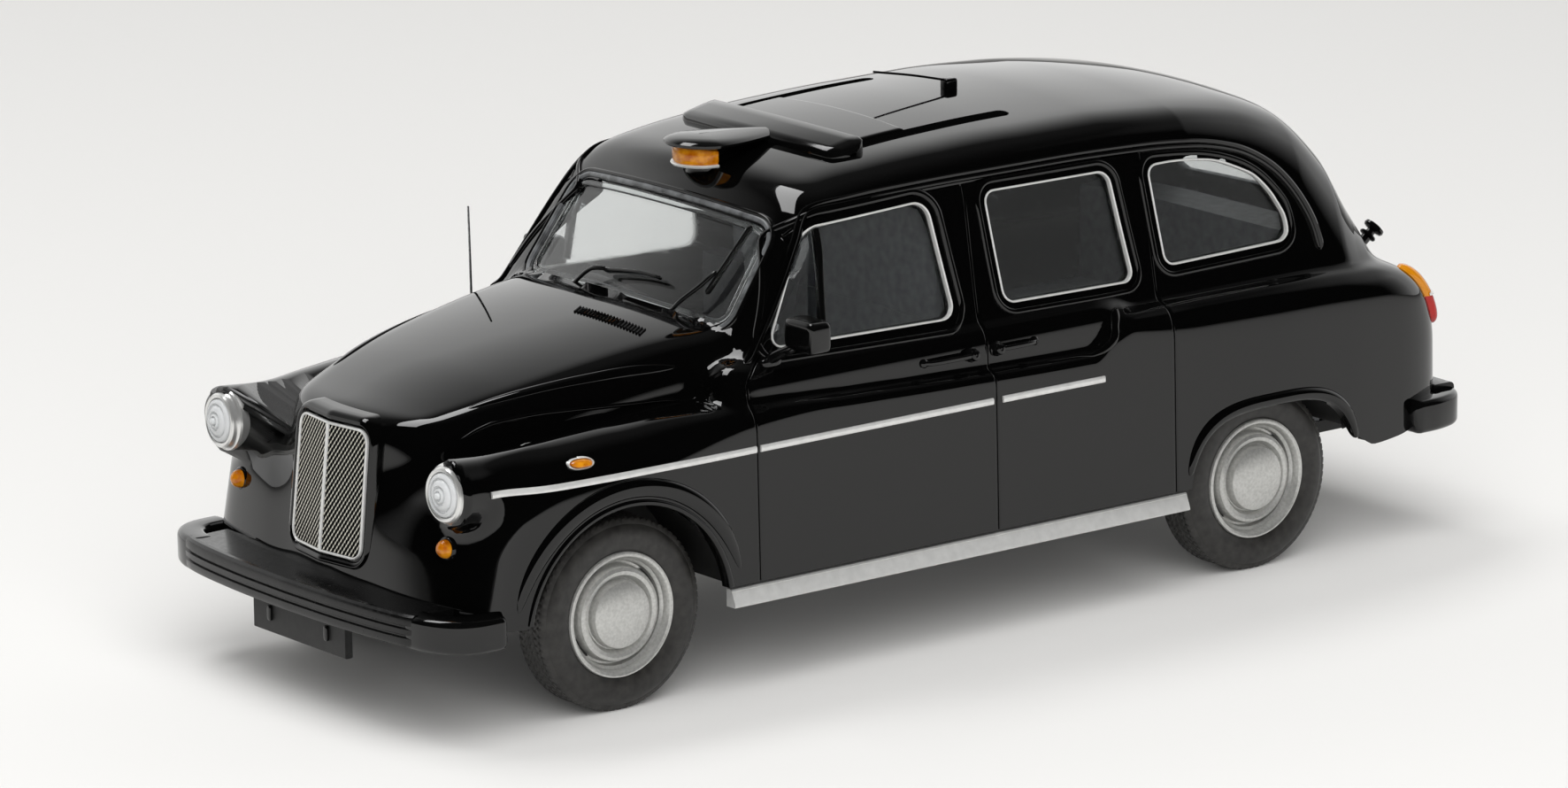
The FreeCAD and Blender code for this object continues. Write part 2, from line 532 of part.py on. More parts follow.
FRONT_TIP, REAR_TIP = SIZE["bumper_front_x"], SIZE["bumper_rear_x"]
front_bar = blade(FRONT_TIP - 1.5, FRONT_TIP, 15.6, 3.6, 8.0, 10.6, 0, 1)
keep("front_bumper", shape("front_bumper", biggest(outside(front_bar))))
rear_bar = blade(REAR_TIP + 1.9, REAR_TIP, 15.6, 2.2, 9.2, 12.4, 0, -1)
keep("rear_bumper", shape("rear_bumper", biggest(outside(rear_bar))))


def end_cap(tip, x_inner, z_low, z_high, sign, length):
    """A bumper's end cap: from the blade's end round the corner and back along the wing."""
    x_front = tip - sign * 1.5
    points = [Vec(x_front, 15.65, z_low), Vec(x_front - sign * 0.7, 18.4, z_low),
              Vec(x_front - sign * length * 0.5, HALF + 0.2, z_low),
              Vec(x_front - sign * length, HALF + 0.25, z_low),
              Vec(x_front - sign * length, HALF - 2.0, z_low), Vec(x_front - sign * 3.4, 15.65, z_low)]
    return Part.Face(Part.makePolygon(points + points[:1])).extrude(Vec(0, 0, z_high - z_low))


front_cap = outside(end_cap(FRONT_TIP, 0, 7.7, 10.7, 1, 5.4))
keep("front_bumper_caps", shape("front_bumper_caps", both_sides(biggest(front_cap))))
rear_cap = outside(end_cap(REAR_TIP + 0.4 * 1, 0, 9.1, 12.5, -1, 6.2))
keep("rear_bumper_caps", shape("rear_bumper_caps", both_sides(biggest(rear_cap))))
keep("front_plate_holder", box("front_plate_holder", ("bumper_front_x - 2.7", "-6.3", "4.9"), ("1.2", "12.6", "3.05")))
keep("rear_plate_holder", shape("rear_plate_holder", biggest(outside(
    Part.makeBox(2.2, 12.4, 3.0, Vec(REAR_TIP + 0.9, -6.2, 12.9))))))

# ---------------------------------------------------------------- roof furniture

sign_side = [(-19.0, 38.0), (-18.2, 39.9), (-20.5, 40.7), (-24.5, 40.4), (-30.0, 38.8), (-29.0, 37.0), (-19.5, 36.0)]
side_face = Part.makePolygon([Vec(FRONT + x, -3.2, z) for x, z in sign_side + sign_side[:1]])
housing = Part.Face(side_face).extrude(Vec(0, 6.4, 0))
plan_points = [(-17.9, 0), (-18.4, 3.2), (-21.5, 3.2), (-30.2, 0.3), (-30.2, -0.3), (-21.5, -3.2), (-18.4, -3.2)]
plan_face = Part.Face(Part.makePolygon([Vec(FRONT + x, y, 30) for x, y in plan_points + plan_points[:1]]))
housing = housing.common(plan_face.extrude(Vec(0, 0, 14)))
lamp_slot = Part.makeBox(1.6, 4.8, 1.7, Vec(FRONT - 20.0, -2.4, 37.7))
keep("roof_sign_housing", shape("roof_sign_housing", biggest(outside(housing.cut(lamp_slot)))))
sign_face = Part.makeBox(1.5, 4.76, 1.66, Vec(FRONT - 19.98, -2.38, 37.72)).common(housing)
keep("roof_sign_lens", shape("roof_sign_lens", biggest(outside(sign_face))))
deflect_plan = [(-22.8, 0), (-24.6, 9.6), (-27.4, 10.4), (-26.6, 0)]
deflect_plan += [(x, -y) for x, y in deflect_plan[-2:0:-1]]
deflector = Part.Face(Part.makePolygon([Vec(FRONT + x, y, 36) for x, y in deflect_plan + deflect_plan[:1]]))
deflector = deflector.extrude(Vec(0, 0, 8)).common(lofted(CABIN, -0.8))
keep("roof_deflector", shape("roof_deflector", biggest(outside(deflector)).cut(housing)))
keep("roof_aerial", shape("roof_aerial", biggest(outside(
    Part.makeBox(1.4, 1.0, 2.2, Vec(FRONT - 47.6, -0.5, 39.0)).fuse(
        Part.makeCylinder(0.15, 8.0, Vec(FRONT - 47.0, 0, 40.9), Vec(0.93, -0.28, 0.22)))))))

# ---------------------------------------------------------------- wipers, aerial, mirrors, trims

def stick(points, radius):
    """Round rods joined by balls through the points."""
    solid = Part.makeSphere(radius, points[0])
    for a, b in zip(points, points[1:]):
        solid = solid.fuse([Part.makeCylinder(radius, (b - a).Length, a, b - a), Part.makeSphere(radius, b)])
    return solid.removeSplitter()


def over_glass(y, up, stand):
    """A point standing off the windscreen, up its slope from the foot."""
    radius = SIZE["screen_radius"]
    bow = radius - math.sqrt(radius * radius - y * y)
    out, rise = stand - bow, up
    return Vec(SIZE["screen_foot_x"] + out * math.cos(SCREEN_LEAN) - rise * math.sin(SCREEN_LEAN), y,
               SIZE["screen_foot_z"] + out * math.sin(SCREEN_LEAN) + rise * math.cos(SCREEN_LEAN))


for name, pivot_y, elbow, tip_a, tip_b in (
        ("wiper_right", -3.9, (-1.0, 3.3), (-1.0, 3.3), (4.0, 2.6)),
        ("wiper_left", 10.0, (8.0, 3.2), (8.0, 3.2), (9.2, 8.6))):
    arm = [over_glass(pivot_y, -0.6, 1.0), over_glass(*elbow, 0.75)]
    blade_line = [over_glass(*tip_a, 0.55), over_glass(*tip_b, 0.55)]
    pivot = Part.makeCylinder(0.5, 2.6, over_glass(pivot_y, -1.8, -1.2), Vec(0.6, 0, 0.8))
    wiper = pivot.fuse([stick(arm, 0.22), stick(blade_line, 0.24)])
    keep(name, shape(name, biggest(outside(wiper))))
wing_aerial = stick([Vec(FRONT - 10.0, -15.6, 22.0), Vec(FRONT - 10.4, -14.6, 33.6)], 0.16)
keep("wing_aerial", shape("wing_aerial", biggest(outside(wing_aerial))))
vent = Part.makeBox(1.1, 9.2, 3.0, Vec(FRONT - 11.2, -0.9, 25.4))
keep("scuttle_vent", shape("scuttle_vent", biggest(outside(vent.common(lofted(BONNET, -0.15))))))
glass_case = Part.makeBox(1.5, 4.2, 3.0, Vec(door_x(17.8), 18.7, 26.6))
glass_case = glass_case.makeFillet(0.6, glass_case.Edges)
stalk = Part.makeCylinder(0.45, 4.2, Vec(door_x(15.6), 17.0, 24.8), Vec(-0.35, 0.6, 0.72))
mirror = biggest(outside(glass_case.fuse(stalk)))
keep("mirror_left", shape("mirror_left", mirror))
keep("mirror_right", shape("mirror_right", mirror.mirror(Vec(), Vec(0, 1, 0))))
handles = []
for x in (door_x(34.7), door_x(41.3)):
    grip = Part.makeBox(5.0, 0.7, 0.9, Vec(x, 19.0, 22.9))
    foot = Part.makeBox(0.9, 1.2, 0.9, Vec(x + (4.0 if x < door_x(38) else 0.1), 18.0, 22.9))
    handles += both_sides(biggest(outside(grip.fuse(foot)))).Solids
keep("door_handles", shape("door_handles", Part.makeCompound(handles)))
strips = []
for x_high, x_low in ((FRONT + 11.5, door_x(12.0)), (door_x(12.4), door_x(36.0)), (door_x(36.7), door_x(47.4))):
    flat = Part.makeBox(x_high - x_low, 3, 0.5, Vec(x_low, HALF - 1.6, 19.2))
    flat = flat.common(lofted(FLANK, -0.25))
    strips += both_sides(biggest(outside(flat))).Solids
keep("side_strips", shape("side_strips", Part.makeCompound(strips)))
sill = Part.makeBox(door_x(9.6) - door_x(56.3), 0.8, 1.45, Vec(door_x(56.3), HALF - 0.8, SILL - 1.5))
keep("sill_trims", shape("sill_trims", both_sides(sill)))
neck = Part.makeCylinder(0.45, 1.9, Vec(REAR - 16.2, 12.0, 23.4), Vec(-0.7, 0, 0.72))
knob = Part.makeCylinder(0.95, 0.9, Vec(REAR - 17.4, 12.0, 24.6), Vec(-0.7, 0, 0.72))
keep("fuel_cap", shape("fuel_cap", biggest(outside(neck.fuse(knob)))))
pipe = [(-20, 7.6), (-48, 7.6)]
exhaust = stick([Vec(FRONT + x, 6.2, z) for x, z in pipe], 0.6)
muffler = Part.makeCylinder(1.3, 10, Vec(FRONT - 45, 6.2, 7.5), Vec(1, 0, 0))
keep("exhaust", shape("exhaust", exhaust.fuse(muffler)))

# ---------------------------------------------------------------- checks and files

doc.recompute()
for made in doc.Objects:
    if "Invalid" in made.State or "Error" in made.State:
        raise RuntimeError(f"{made.Name} did not build: {made.State}")
for made in SUB_PARTS:
    if made.Shape.isNull() or not made.Shape.isValid() or made.Shape.Volume < 0.01:
        raise RuntimeError(f"{made.Label} has no sound solid")
os.makedirs("parts", exist_ok=True)
for made in SUB_PARTS:
    made.Shape.exportStep(f"parts/{made.Label}.step")
box_all = Part.makeCompound([made.Shape for made in SUB_PARTS]).BoundBox
print(f"{len(SUB_PARTS)} sub-parts, box {box_all.XMin:.2f} {box_all.XMax:.2f} {box_all.YMin:.2f}"
      f" {box_all.YMax:.2f} {box_all.ZMin:.2f} {box_all.ZMax:.2f}")
for made in SUB_PARTS:
    b = made.Shape.BoundBox
    print(f"{made.Label:22s} solids {len(made.Shape.Solids):2d} volume {made.Shape.Volume:8.2f}"
          f"  x {b.XMin:6.1f} {b.XMax:6.1f}  y {b.YMin:6.1f} {b.YMax:6.1f}  z {b.ZMin:5.1f} {b.ZMax:5.1f}")
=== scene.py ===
import json
import math
import bpy
import mathutils
import numpy as np
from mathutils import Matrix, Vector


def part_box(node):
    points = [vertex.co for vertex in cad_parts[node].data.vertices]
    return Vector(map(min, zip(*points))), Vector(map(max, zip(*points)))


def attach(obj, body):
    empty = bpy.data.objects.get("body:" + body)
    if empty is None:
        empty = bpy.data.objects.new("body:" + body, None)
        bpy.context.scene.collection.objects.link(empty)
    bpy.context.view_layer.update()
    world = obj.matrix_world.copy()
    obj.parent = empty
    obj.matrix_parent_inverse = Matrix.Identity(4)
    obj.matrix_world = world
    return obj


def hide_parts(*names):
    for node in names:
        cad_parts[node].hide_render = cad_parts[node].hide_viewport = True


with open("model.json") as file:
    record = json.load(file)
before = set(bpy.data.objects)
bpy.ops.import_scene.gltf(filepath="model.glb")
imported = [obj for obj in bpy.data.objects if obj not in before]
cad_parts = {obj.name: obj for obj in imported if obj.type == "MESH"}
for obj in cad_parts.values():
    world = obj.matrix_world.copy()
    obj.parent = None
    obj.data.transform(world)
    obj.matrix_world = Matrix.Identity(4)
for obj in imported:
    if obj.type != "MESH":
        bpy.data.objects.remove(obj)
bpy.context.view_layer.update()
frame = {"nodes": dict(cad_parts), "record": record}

MM = 0.001                                    # the shapes below are in millimetres at model size
MIRROR = np.array([1, -1, 1])                 # turns the left side into the right


def centre(node):
    """The middle of a solid's box."""
    low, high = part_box(node)
    return (np.array(low) + np.array(high)) / 2 / MM


FRONT = centre("front_axle_rod")[0]           # the two axles are the data that every x is counted from
REAR = centre("rear_axle_rod")[0]
AXLE_Z = centre("front_axle_rod")[2]
TYRE_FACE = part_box("front_tyres")[1][1] / MM
RIM_R = (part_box("front_rims")[1][2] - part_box("front_rims")[0][2]) / MM / 2


# ------------------------------------------------------------------ numpy helpers

def curve_through(knots):
    """A smooth curve through (place, value) knots that never swings past them (monotone cubic)."""
    k = np.array(sorted(knots), float)
    xs, ys = k[:, 0], k[:, 1]
    h = np.diff(xs)
    d = np.diff(ys) / h
    m = np.zeros(len(xs))
    m[0], m[-1] = d[0], d[-1]
    w1, w2 = 2 * h[1:] + h[:-1], h[1:] + 2 * h[:-1]
    with np.errstate(divide="ignore", invalid="ignore"):
        m[1:-1] = np.where(d[:-1] * d[1:] > 0, (w1 + w2) / (w1 / d[:-1] + w2 / d[1:]), 0)

    def at(x):
        x = np.clip(x, xs[0], xs[-1])
        i = np.clip(np.searchsorted(xs, x, side="right") - 1, 0, len(h) - 1)
        t = (x - xs[i]) / h[i]
        return (ys[i] * (1 + 2 * t) * (1 - t) ** 2 + h[i] * m[i] * t * (1 - t) ** 2
                + ys[i + 1] * t * t * (3 - 2 * t) + h[i] * m[i + 1] * t * t * (t - 1))
    return at


def unit(v):
    """The same directions, each of length 1."""
    return v / np.linalg.norm(v, axis=-1, keepdims=True)


def xyz(*coordinates):
    """Points from coordinates, each a number or an array whose shape fits the others'."""
    return np.stack(np.broadcast_arrays(*(np.asarray(v, float) for v in coordinates)), -1)


def sample(field, p):
    """A field's values at points."""
    return field(p[..., 0], p[..., 1], p[..., 2])


def round_max(a, b, r):
    """The larger of two distances; where they are within r of each other the edge is rounded."""
    return np.maximum(a, b) + r * np.clip(1 - np.abs(a - b) / r, 0, 1) ** 3 / 6


def round_min(a, b, r):
    """The smaller of two distances, with the inner corner filled in the same way."""
    return -round_max(-a, -b, r)


def nose(s):
    """A place given forward of the front axle."""
    return FRONT + s


def from_axle(points):
    """Points whose first coordinate counts forward from the front axle."""
    p = np.array(points, float)
    p[..., 0] += FRONT
    return p


def along(knots):
    """A smooth curve through (distance ahead of the front axle, value) knots."""
    return curve_through([(nose(s), v) for s, v in knots])


# ------------------------------------------------------------------ the body's form
# The body is made of rounded volumes joined with fillets: the wings and lower sides, the waist under
# the windows, the bonnet, the cabin and the lamp pods. Each returns a signed distance, below zero inside.

wing_half = along([(15, 19.2), (10, 19.55), (5, 19.8), (0, 19.9), (-12, 19.85), (-36, 19.8), (-55, 19.95),
                   (-66, 20.05), (-74, 19.8), (-80, 19.3), (-86, 18.4), (-90, 17.6)])
wing_top = along([(16, 20.5), (13.5, 21.0), (10.3, 21.5), (6.8, 22.0), (3.4, 22.4), (-0.5, 22.7),
                  (-6, 22.85), (-12, 22.7), (-24, 22.1), (-36, 21.7), (-46.5, 21.5), (-49, 23.4),
                  (-51, 24.3), (-60, 24.5), (-70, 24.4), (-78, 24.0), (-82, 23.4), (-85, 22.5),
                  (-87.5, 21), (-90, 19)])
wing_round = along([(15, 6.0), (5, 6.8), (-2, 6.4), (-12, 2.8), (-20, 1.5), (-46, 1.3), (-50, 2.6),
                    (-58, 4.4), (-90, 5.0)])


def wings(x, y, z):
    """Side at the wings' half width, top along their crest with a valley beside the bonnet, bowed
    ends; side and top meet in a round that is wide on the wings and tight along the doors."""
    a = np.abs(y)
    side = a - wing_half(x) - 0.018 * (14 - z)
    valley = 0.16 * np.clip(16.2 - a, 0, 3.2) ** 2 * np.clip((x - nose(-14)) / 4, 0, 1)
    body = round_max(side, z - wing_top(x) + valley, wing_round(x))
    front = (x - nose(15.3) + 0.012 * np.clip(a - 6, 0, 20) ** 2 + 0.19 * (z - 11)
             + 0.04 * np.clip(z - 17, 0, 9) ** 2)
    tail = (nose(-87.8) - x + 0.0065 * np.clip(a - 4, 0, 20) ** 2 + 0.037 * np.clip(z - 16, 0, 12) ** 2
            + 0.02 * np.clip(13 - z, 0, 9) ** 2)
    return round_max(round_max(body, front, 6.0), tail, 6.8)


def waist(x, y, z):
    """A flat-sided box under the windows with a rolled top edge."""
    side = np.abs(y) - 18.62 + 0.01 * (z - 22) + 0.02 * np.clip(nose(-55) - x, 0, 40)
    body = round_max(round_max(side, z - 25.5, 3.2), x - nose(-10.5), 3.0)
    return round_max(body, nose(-53) - x, 6.0)


bonnet_top = along([(17, 21.6), (14.8, 22.6), (10, 24.0), (4, 25.7), (-3, 27.2), (-9, 28.2), (-16, 29.0)])
bonnet_half = along([(17, 6.4), (14.8, 7.6), (10, 10.2), (4, 12.2), (-3, 13.4), (-9, 14.3), (-16, 15.4)])


def bonnet(x, y, z):
    """A tapering box: the top falls forward and is crowned across, the front is a shallow prow."""
    a = np.abs(y)
    side = a - bonnet_half(x) - 0.1 * (24 - z)
    body = round_max(side, z - bonnet_top(x) + 0.007 * y * y, 3.4)
    front = x - nose(15.0) + 0.03 * np.clip(a - 1, 0, 20) ** 2 + 0.12 * (z - 14)
    return round_max(round_max(body, front, 2.0), nose(-16) - x, 1.0)


roof_line = along([(-9, 35.2), (-15, 36.95), (-20, 38.1), (-28, 39.4), (-36, 40.0), (-44, 40.25),
                   (-52, 40.28), (-60, 39.95), (-67, 39.15), (-72, 37.8), (-76, 34.7), (-79.5, 29.3),
                   (-82.5, 24.3), (-85, 19.9), (-88, 15)])
SCREEN_LEAN = math.atan2(6.0, 8.1)
SCREEN_FOOT, SCREEN_Z, SCREEN_R = nose(-12.16), 27.04, 80.0


def screen(x, y, z):
    """Distance outside the windscreen's surface, a cylinder that leans back."""
    u = (x - SCREEN_FOOT) * math.cos(SCREEN_LEAN) + (z - SCREEN_Z) * math.sin(SCREEN_LEAN)
    return np.where(u > -20, np.hypot(u + SCREEN_R, y) - SCREEN_R, -25)


def cabin(x, y, z):
    """Sides that lean in and curve slightly, a crowned roof that runs down into the tail, and the
    windscreen cut across the front."""
    tuck = 0.0016 * np.clip(nose(-62) - x, 0, 40) ** 2
    side = 0.983 * (np.abs(y) - 17.42 + 0.185 * (z - 25.4) - 0.0022 * (z - 25.4) ** 2 + tuck)
    slope = (roof_line(x + 0.05) - roof_line(x - 0.05)) / 0.1
    top = (z - roof_line(x) + 0.0055 * y * y) / np.sqrt(1 + slope ** 2)
    body = round_max(side, top, 5.4 + 4.1 * np.clip((nose(-60) - x) / 18, 0, 1))
    return np.maximum(round_max(body, screen(x, y, z), 2.2), 20 - z)


def lamp_pod(x, y, z):
    """A tapering barrel round each headlamp that sinks into the wing behind it."""
    back = nose(14.6) - x
    r = np.hypot(np.abs(y) - 15.38 + 0.05 * back, z - 19.36 + 0.02 * back)
    return np.maximum(round_max(r - 2.75 + 0.05 * back, -back, 0.5), back - 14)


def form(x, y, z):
    """The whole body's signed distance: the volumes joined with fillets, wider at the pillars' feet."""
    lower = round_min(round_min(wings(x, y, z), waist(x, y, z), 0.9), bonnet(x, y, z), 1.6)
    lower = round_min(lower, lamp_pod(x, y, z), 2.0)
    foot = np.exp(-((x - nose(-10.2)) / 3.2) ** 2 - ((np.abs(y) - 16.5) / 3.0) ** 2)
    return round_min(lower, cabin(x, y, z), 0.9 + 2.6 * foot)


SPINE_FRONT, SPINE_REAR, SPINE_Z, SILL = nose(6.0), nose(-76.0), 14.0, 8.7
DOOR_LINES = {"front": nose(-12.2), "middle": nose(-36.4), "rear": nose(-55.0)}
# the front door's leading edge goes back along the windscreen pillar: its x by angle on the spine
front_edge = curve_through([(-0.3, nose(-12.2)), (0.50, nose(-12.2)), (0.56, nose(-13.2)),
                            (0.615, nose(-14.6)), (0.958, nose(-19.3)), (1.6, nose(-19.3))])
DOOR_TOP, DOOR_TOP_REACH = 0.968, 27.0        # the line over the doors: angle on the spine, way from it
LINE_DEPTH, LINE_WIDTH = 0.2, 0.085


def spine_angle(y, z):
    """How far round the spine a point lies, from level."""
    return np.arctan2(z - SPINE_Z, np.abs(y))


def pinch(distance):
    """A bell over the distance from a line: 1 on it, gone at about twice the line's width."""
    return np.exp(-(distance / LINE_WIDTH) ** 2)


def skin(x, y, z):
    """The form with the doors' shut lines pressed in: fine grooves along three upright lines and
    one over the doors."""
    angle = spine_angle(y, z)
    side = (angle < DOOR_TOP) & (np.abs(y) > 10)
    over = (x < nose(-19.3)) & (x > DOOR_LINES["rear"])
    rise = pinch((angle - DOOR_TOP) * DOOR_TOP_REACH) * over
    for line in (front_edge(angle), DOOR_LINES["middle"], DOOR_LINES["rear"]):
        rise = np.maximum(rise, pinch(x - line) * side)
    return form(x, y, z) + LINE_DEPTH * rise


def cast(origin, direction, field):
    """Where rays leave the body, found by halving."""
    near, far = np.full(origin.shape[:-1], 2.0), np.full(origin.shape[:-1], 45.0)
    for _ in range(36):
        middle = (near + far) / 2
        p = origin + direction * middle[..., None]
        inside = sample(field, p) < 0
        near, far = np.where(inside, middle, near), np.where(inside, far, middle)
    return origin + direction * near[..., None]


def slope_of(field, p, e=0.012):
    """Unit outward direction of a field at points."""
    return unit(xyz(*(sample(field, p + step) - sample(field, p - step) for step in e * np.eye(3))))


def spread(low, high, step):
    """Even steps from low up to, but without, high."""
    return np.linspace(low, high, max(2, int(round(abs((high - low) / step))) + 1))[:-1]


LINE_STEPS = np.array([-0.24, -0.16, -0.1, -0.05, 0, 0.05, 0.1, 0.16, 0.24])


def body_rays(step, fine):
    """Origins and directions of the rays of the left half: they fan round the nose, go square out
    along the spine and fan round the tail; rows rise from the sill over the side to the roof.
    Columns crowd at the doors' lines and bend with the leading edge; rows crowd at the waist, over
    the doors and at the roof's channels."""
    stops, start = [], SPINE_FRONT
    for mark in DOOR_LINES.values():
        stops += [spread(start, mark + 0.32, -step), mark - LINE_STEPS if fine else [mark]]
        start = mark - 0.32
    stops.append(spread(start, SPINE_REAR, -step))
    stops = np.concatenate(stops)
    fan = int(round(27 / step))
    turn = np.concatenate([np.linspace(np.pi / 2, 0, fan, endpoint=False), np.zeros(len(stops)),
                           -np.linspace(0, np.pi / 2, fan)])
    base = np.concatenate([np.full(fan, SPINE_FRONT), stops, np.full(fan, SPINE_REAR)])
    low = spread(SILL, SPINE_Z, step)
    turns = [spread(0, 0.26, step / 20), spread(0.26, 0.58, step / (36 if fine else 20)),
             spread(0.58, DOOR_TOP - 0.012, step / 22)]
    if fine:
        turns += [DOOR_TOP + LINE_STEPS / DOOR_TOP_REACH, spread(DOOR_TOP + 0.012, 1.19, step / 24),
                  spread(1.19, 1.29, 0.006), spread(1.29, np.pi / 2, step / 24), [np.pi / 2]]
    else:
        turns += [spread(DOOR_TOP + 0.012, np.pi / 2, step / 24), [np.pi / 2]]
    angle = np.concatenate([np.zeros(len(low))] + turns)
    height = np.concatenate([low, np.full(len(angle) - len(low), SPINE_Z)])
    edge = DOOR_LINES["front"]
    lag = np.interp(base, [nose(-30), edge - 0.3, edge + 0.3, SPINE_FRONT], [0, 1, 1, 0])
    x = base + (front_edge(angle)[:, None] - edge) * lag
    across = np.cos(angle)[:, None]
    origin = xyz(x, 0, height[:, None])
    direction = xyz(across * np.sin(turn), across * np.cos(turn), np.sin(angle)[:, None])
    return origin, direction


# ------------------------------------------------------------------ openings in the body

def polygon_distance(u, v, corners, radius):
    """Signed distance to a convex polygon with rounded corners, below zero inside."""
    p = np.array(corners, float)
    area = np.sum(p[:, 0] * np.roll(p[:, 1], -1) - np.roll(p[:, 0], -1) * p[:, 1])
    if area < 0:
        p = p[::-1]
    edge = np.roll(p, -1, 0) - p
    out = np.stack([edge[:, 1], -edge[:, 0]], -1) / np.linalg.norm(edge, axis=1)[:, None]
    d = [(u - a[0]) * n[0] + (v - a[1]) * n[1] + radius for a, n in zip(p, out)]
    over = np.sqrt(sum(np.clip(k, 0, None) ** 2 for k in d))
    return np.where(over > 0, over, np.max(d, axis=0)) - radius


WINDOWS = {name: (from_axle(corners), radius) for name, corners, radius in (
    ("front_door", [(-15.3, 26.5), (-20.2, 35.1), (-32.4, 35.65), (-34.1, 26.1)], 1.3),
    ("rear_door", [(-39.3, 26.5), (-38.3, 35.5), (-51.2, 35.4), (-52.75, 26.3)], 1.0),
    ("quarter", [(-56.3, 27.0), (-55.4, 35.2), (-60.7, 35.25), (-64.6, 34.2), (-67.6, 32.4),
                 (-69.9, 28.6), (-69.5, 27.2)], 0.9))}
SCREEN_OPENING = ([(-13.3, 1.4), (-12.8, 10.5), (12.8, 10.5), (13.3, 1.4)], 1.6)
REAR_OPENING = ([(-8.6, 28.2), (-8.0, 33.6), (8.0, 33.6), (8.6, 28.2)], 1.8)
FRONT_ARCH = (nose(0.3), 7.4, 9.7)
REAR_ARCH = (REAR - 0.3, 5.4, 9.1)
SQUARE = {FRONT_ARCH: 2.0, REAR_ARCH: 3.2}                # how square each arch's round is
CHANNEL = (nose(-46.4), nose(-29.9), 8.86, 0.68)          # rear end, front end, middle and half width
tail_edge = along([(-74, 10.7), (-75.3, 9.9), (-76.9, 9.1), (-80, 9.3), (-83, 10.2), (-86, 11.6),
                   (-89, 12.2)])


def up_screen(x, z):
    """How far up the windscreen's slope a point lies, from its foot."""
    return (z - SCREEN_Z) * math.cos(SCREEN_LEAN) - (x - SCREEN_FOOT) * math.sin(SCREEN_LEAN)


def openings(p, grow=0.0):
    """(signed distance, which coordinate is free to slide back onto the skin) for every opening."""
    x, y, z = p[..., 0], p[..., 1], p[..., 2]
    side = np.abs(y) > 12
    fields = []
    for corners, radius in WINDOWS.values():
        fields.append((np.where(side, polygon_distance(x, z, corners, radius) - grow, 9), 1))
    glass = polygon_distance(y, up_screen(x, z), *SCREEN_OPENING) - grow
    fields.append((np.where((x > nose(-24)) & (z > 26), glass, 9), 0))
    back = polygon_distance(y, z, *REAR_OPENING) - grow
    fields.append((np.where(x < nose(-70), back, 9), 0))
    for (cx, cz, r), k in SQUARE.items():
        across, up = np.abs(x - cx) + 1e-6, np.abs(z - cz) + 1e-6
        fields.append((np.where(side & (z < 20), (across ** k + up ** k) ** (1 / k) - r - grow, 9), 1))
    fields.append((np.where(x < nose(-70), z - tail_edge(x), 9), 1))
    rear, front, middle, half = CHANNEL
    past = np.clip(x, rear + half, front - half) - x
    slot = np.hypot(past, np.abs(y) - middle) - half - grow
    fields.append((np.where(z > 35, slot, 9), 2))
    return fields


def weld(points, reach):
    """Points that meet become one: (which of them stay, the new number of each)."""
    key = np.round(points / reach).astype(np.int64)
    _, first, same = np.unique(key, axis=0, return_index=True, return_inverse=True)
    return first, same.ravel()


def body_sheet(step, fine, inset):
    """Vertices, normals and triangles of the skin, whole, with its openings cut.

    Points within half a cell of an opening's edge slide onto it, then every triangle with a point
    inside is left out."""
    shape = skin if fine else form
    field = lambda x, y, z: shape(x, y, z) + inset
    p = cast(*body_rays(step, fine), field)
    rows, cols = p.shape[:2]
    width = np.maximum(np.linalg.norm(np.gradient(p, axis=0), axis=-1),
                       np.linalg.norm(np.gradient(p, axis=1), axis=-1))
    inside, on = np.zeros((rows, cols), bool), np.zeros((rows, cols), bool)
    e = 1e-3
    nudge = e * np.eye(3)
    for number in range(len(openings(p))):
        d, free = openings(p)[number]
        near = np.abs(d) < 0.52 * width
        push = np.zeros_like(p)
        for axis in {0, 1, 2} - {free}:
            push[..., axis] = (openings(p + nudge[axis])[number][0] - d) / e
        size = np.maximum(np.sum(push ** 2, -1), 0.05)
        p = np.where(near[..., None], p - push * (d / size)[..., None], p)
        for _ in range(4):
            q = p[near]
            off = sample(field, q)
            rate = (sample(field, q + nudge[free]) - off) / e
            q[:, free] -= np.clip(off / np.where(np.abs(rate) < 0.15, np.inf, rate), -0.3, 0.3)
            p[near] = q
        inside |= (d < 0) & ~near
        on |= near
    number = np.arange(rows * cols).reshape(rows, cols)
    a, b, c, e = number[:-1, :-1], number[:-1, 1:], number[1:, 1:], number[1:, :-1]
    onf = on.ravel()
    other = onf[b] & onf[e] & ~(onf[a] & onf[c])     # these cells are cut along their other diagonal
    first = np.where(other[..., None], np.stack([a, b, e], -1), np.stack([a, b, c], -1)).reshape(-1, 3)
    second = np.where(other[..., None], np.stack([b, c, e], -1), np.stack([a, c, e], -1)).reshape(-1, 3)
    tris = np.concatenate([first, second])
    flat = p.reshape(-1, 3)
    keep = ~inside.ravel()[tris].any(1)
    middle = flat[tris].mean(1)[:, None, :]
    sunk = np.min([d for d, _ in openings(middle)], axis=0)[:, 0] < -1e-4
    keep &= ~(onf[tris].all(1) & sunk)
    tris = tris[keep]
    whole, normals = (np.concatenate([v, v * MIRROR]) for v in (flat, slope_of(field, flat)))
    tris = np.concatenate([tris, tris[:, ::-1] + len(flat)])
    stay, same = weld(whole, 1e-4)
    tris = same[tris]
    tris = tris[(tris != np.roll(tris, 1, axis=1)).all(1)]
    used, tris = np.unique(tris, return_inverse=True)
    tris = tris.reshape(-1, 3)
    whole, normals = whole[stay][used], normals[stay][used]
    a, b, c = (whole[tris[:, i]] for i in range(3))
    flip = np.sum(np.cross(b - a, c - a) * normals[tris].sum(1), -1) < 0
    tris[flip] = tris[flip][:, ::-1]
    return whole, normals, tris


# ------------------------------------------------------------------ points on the body

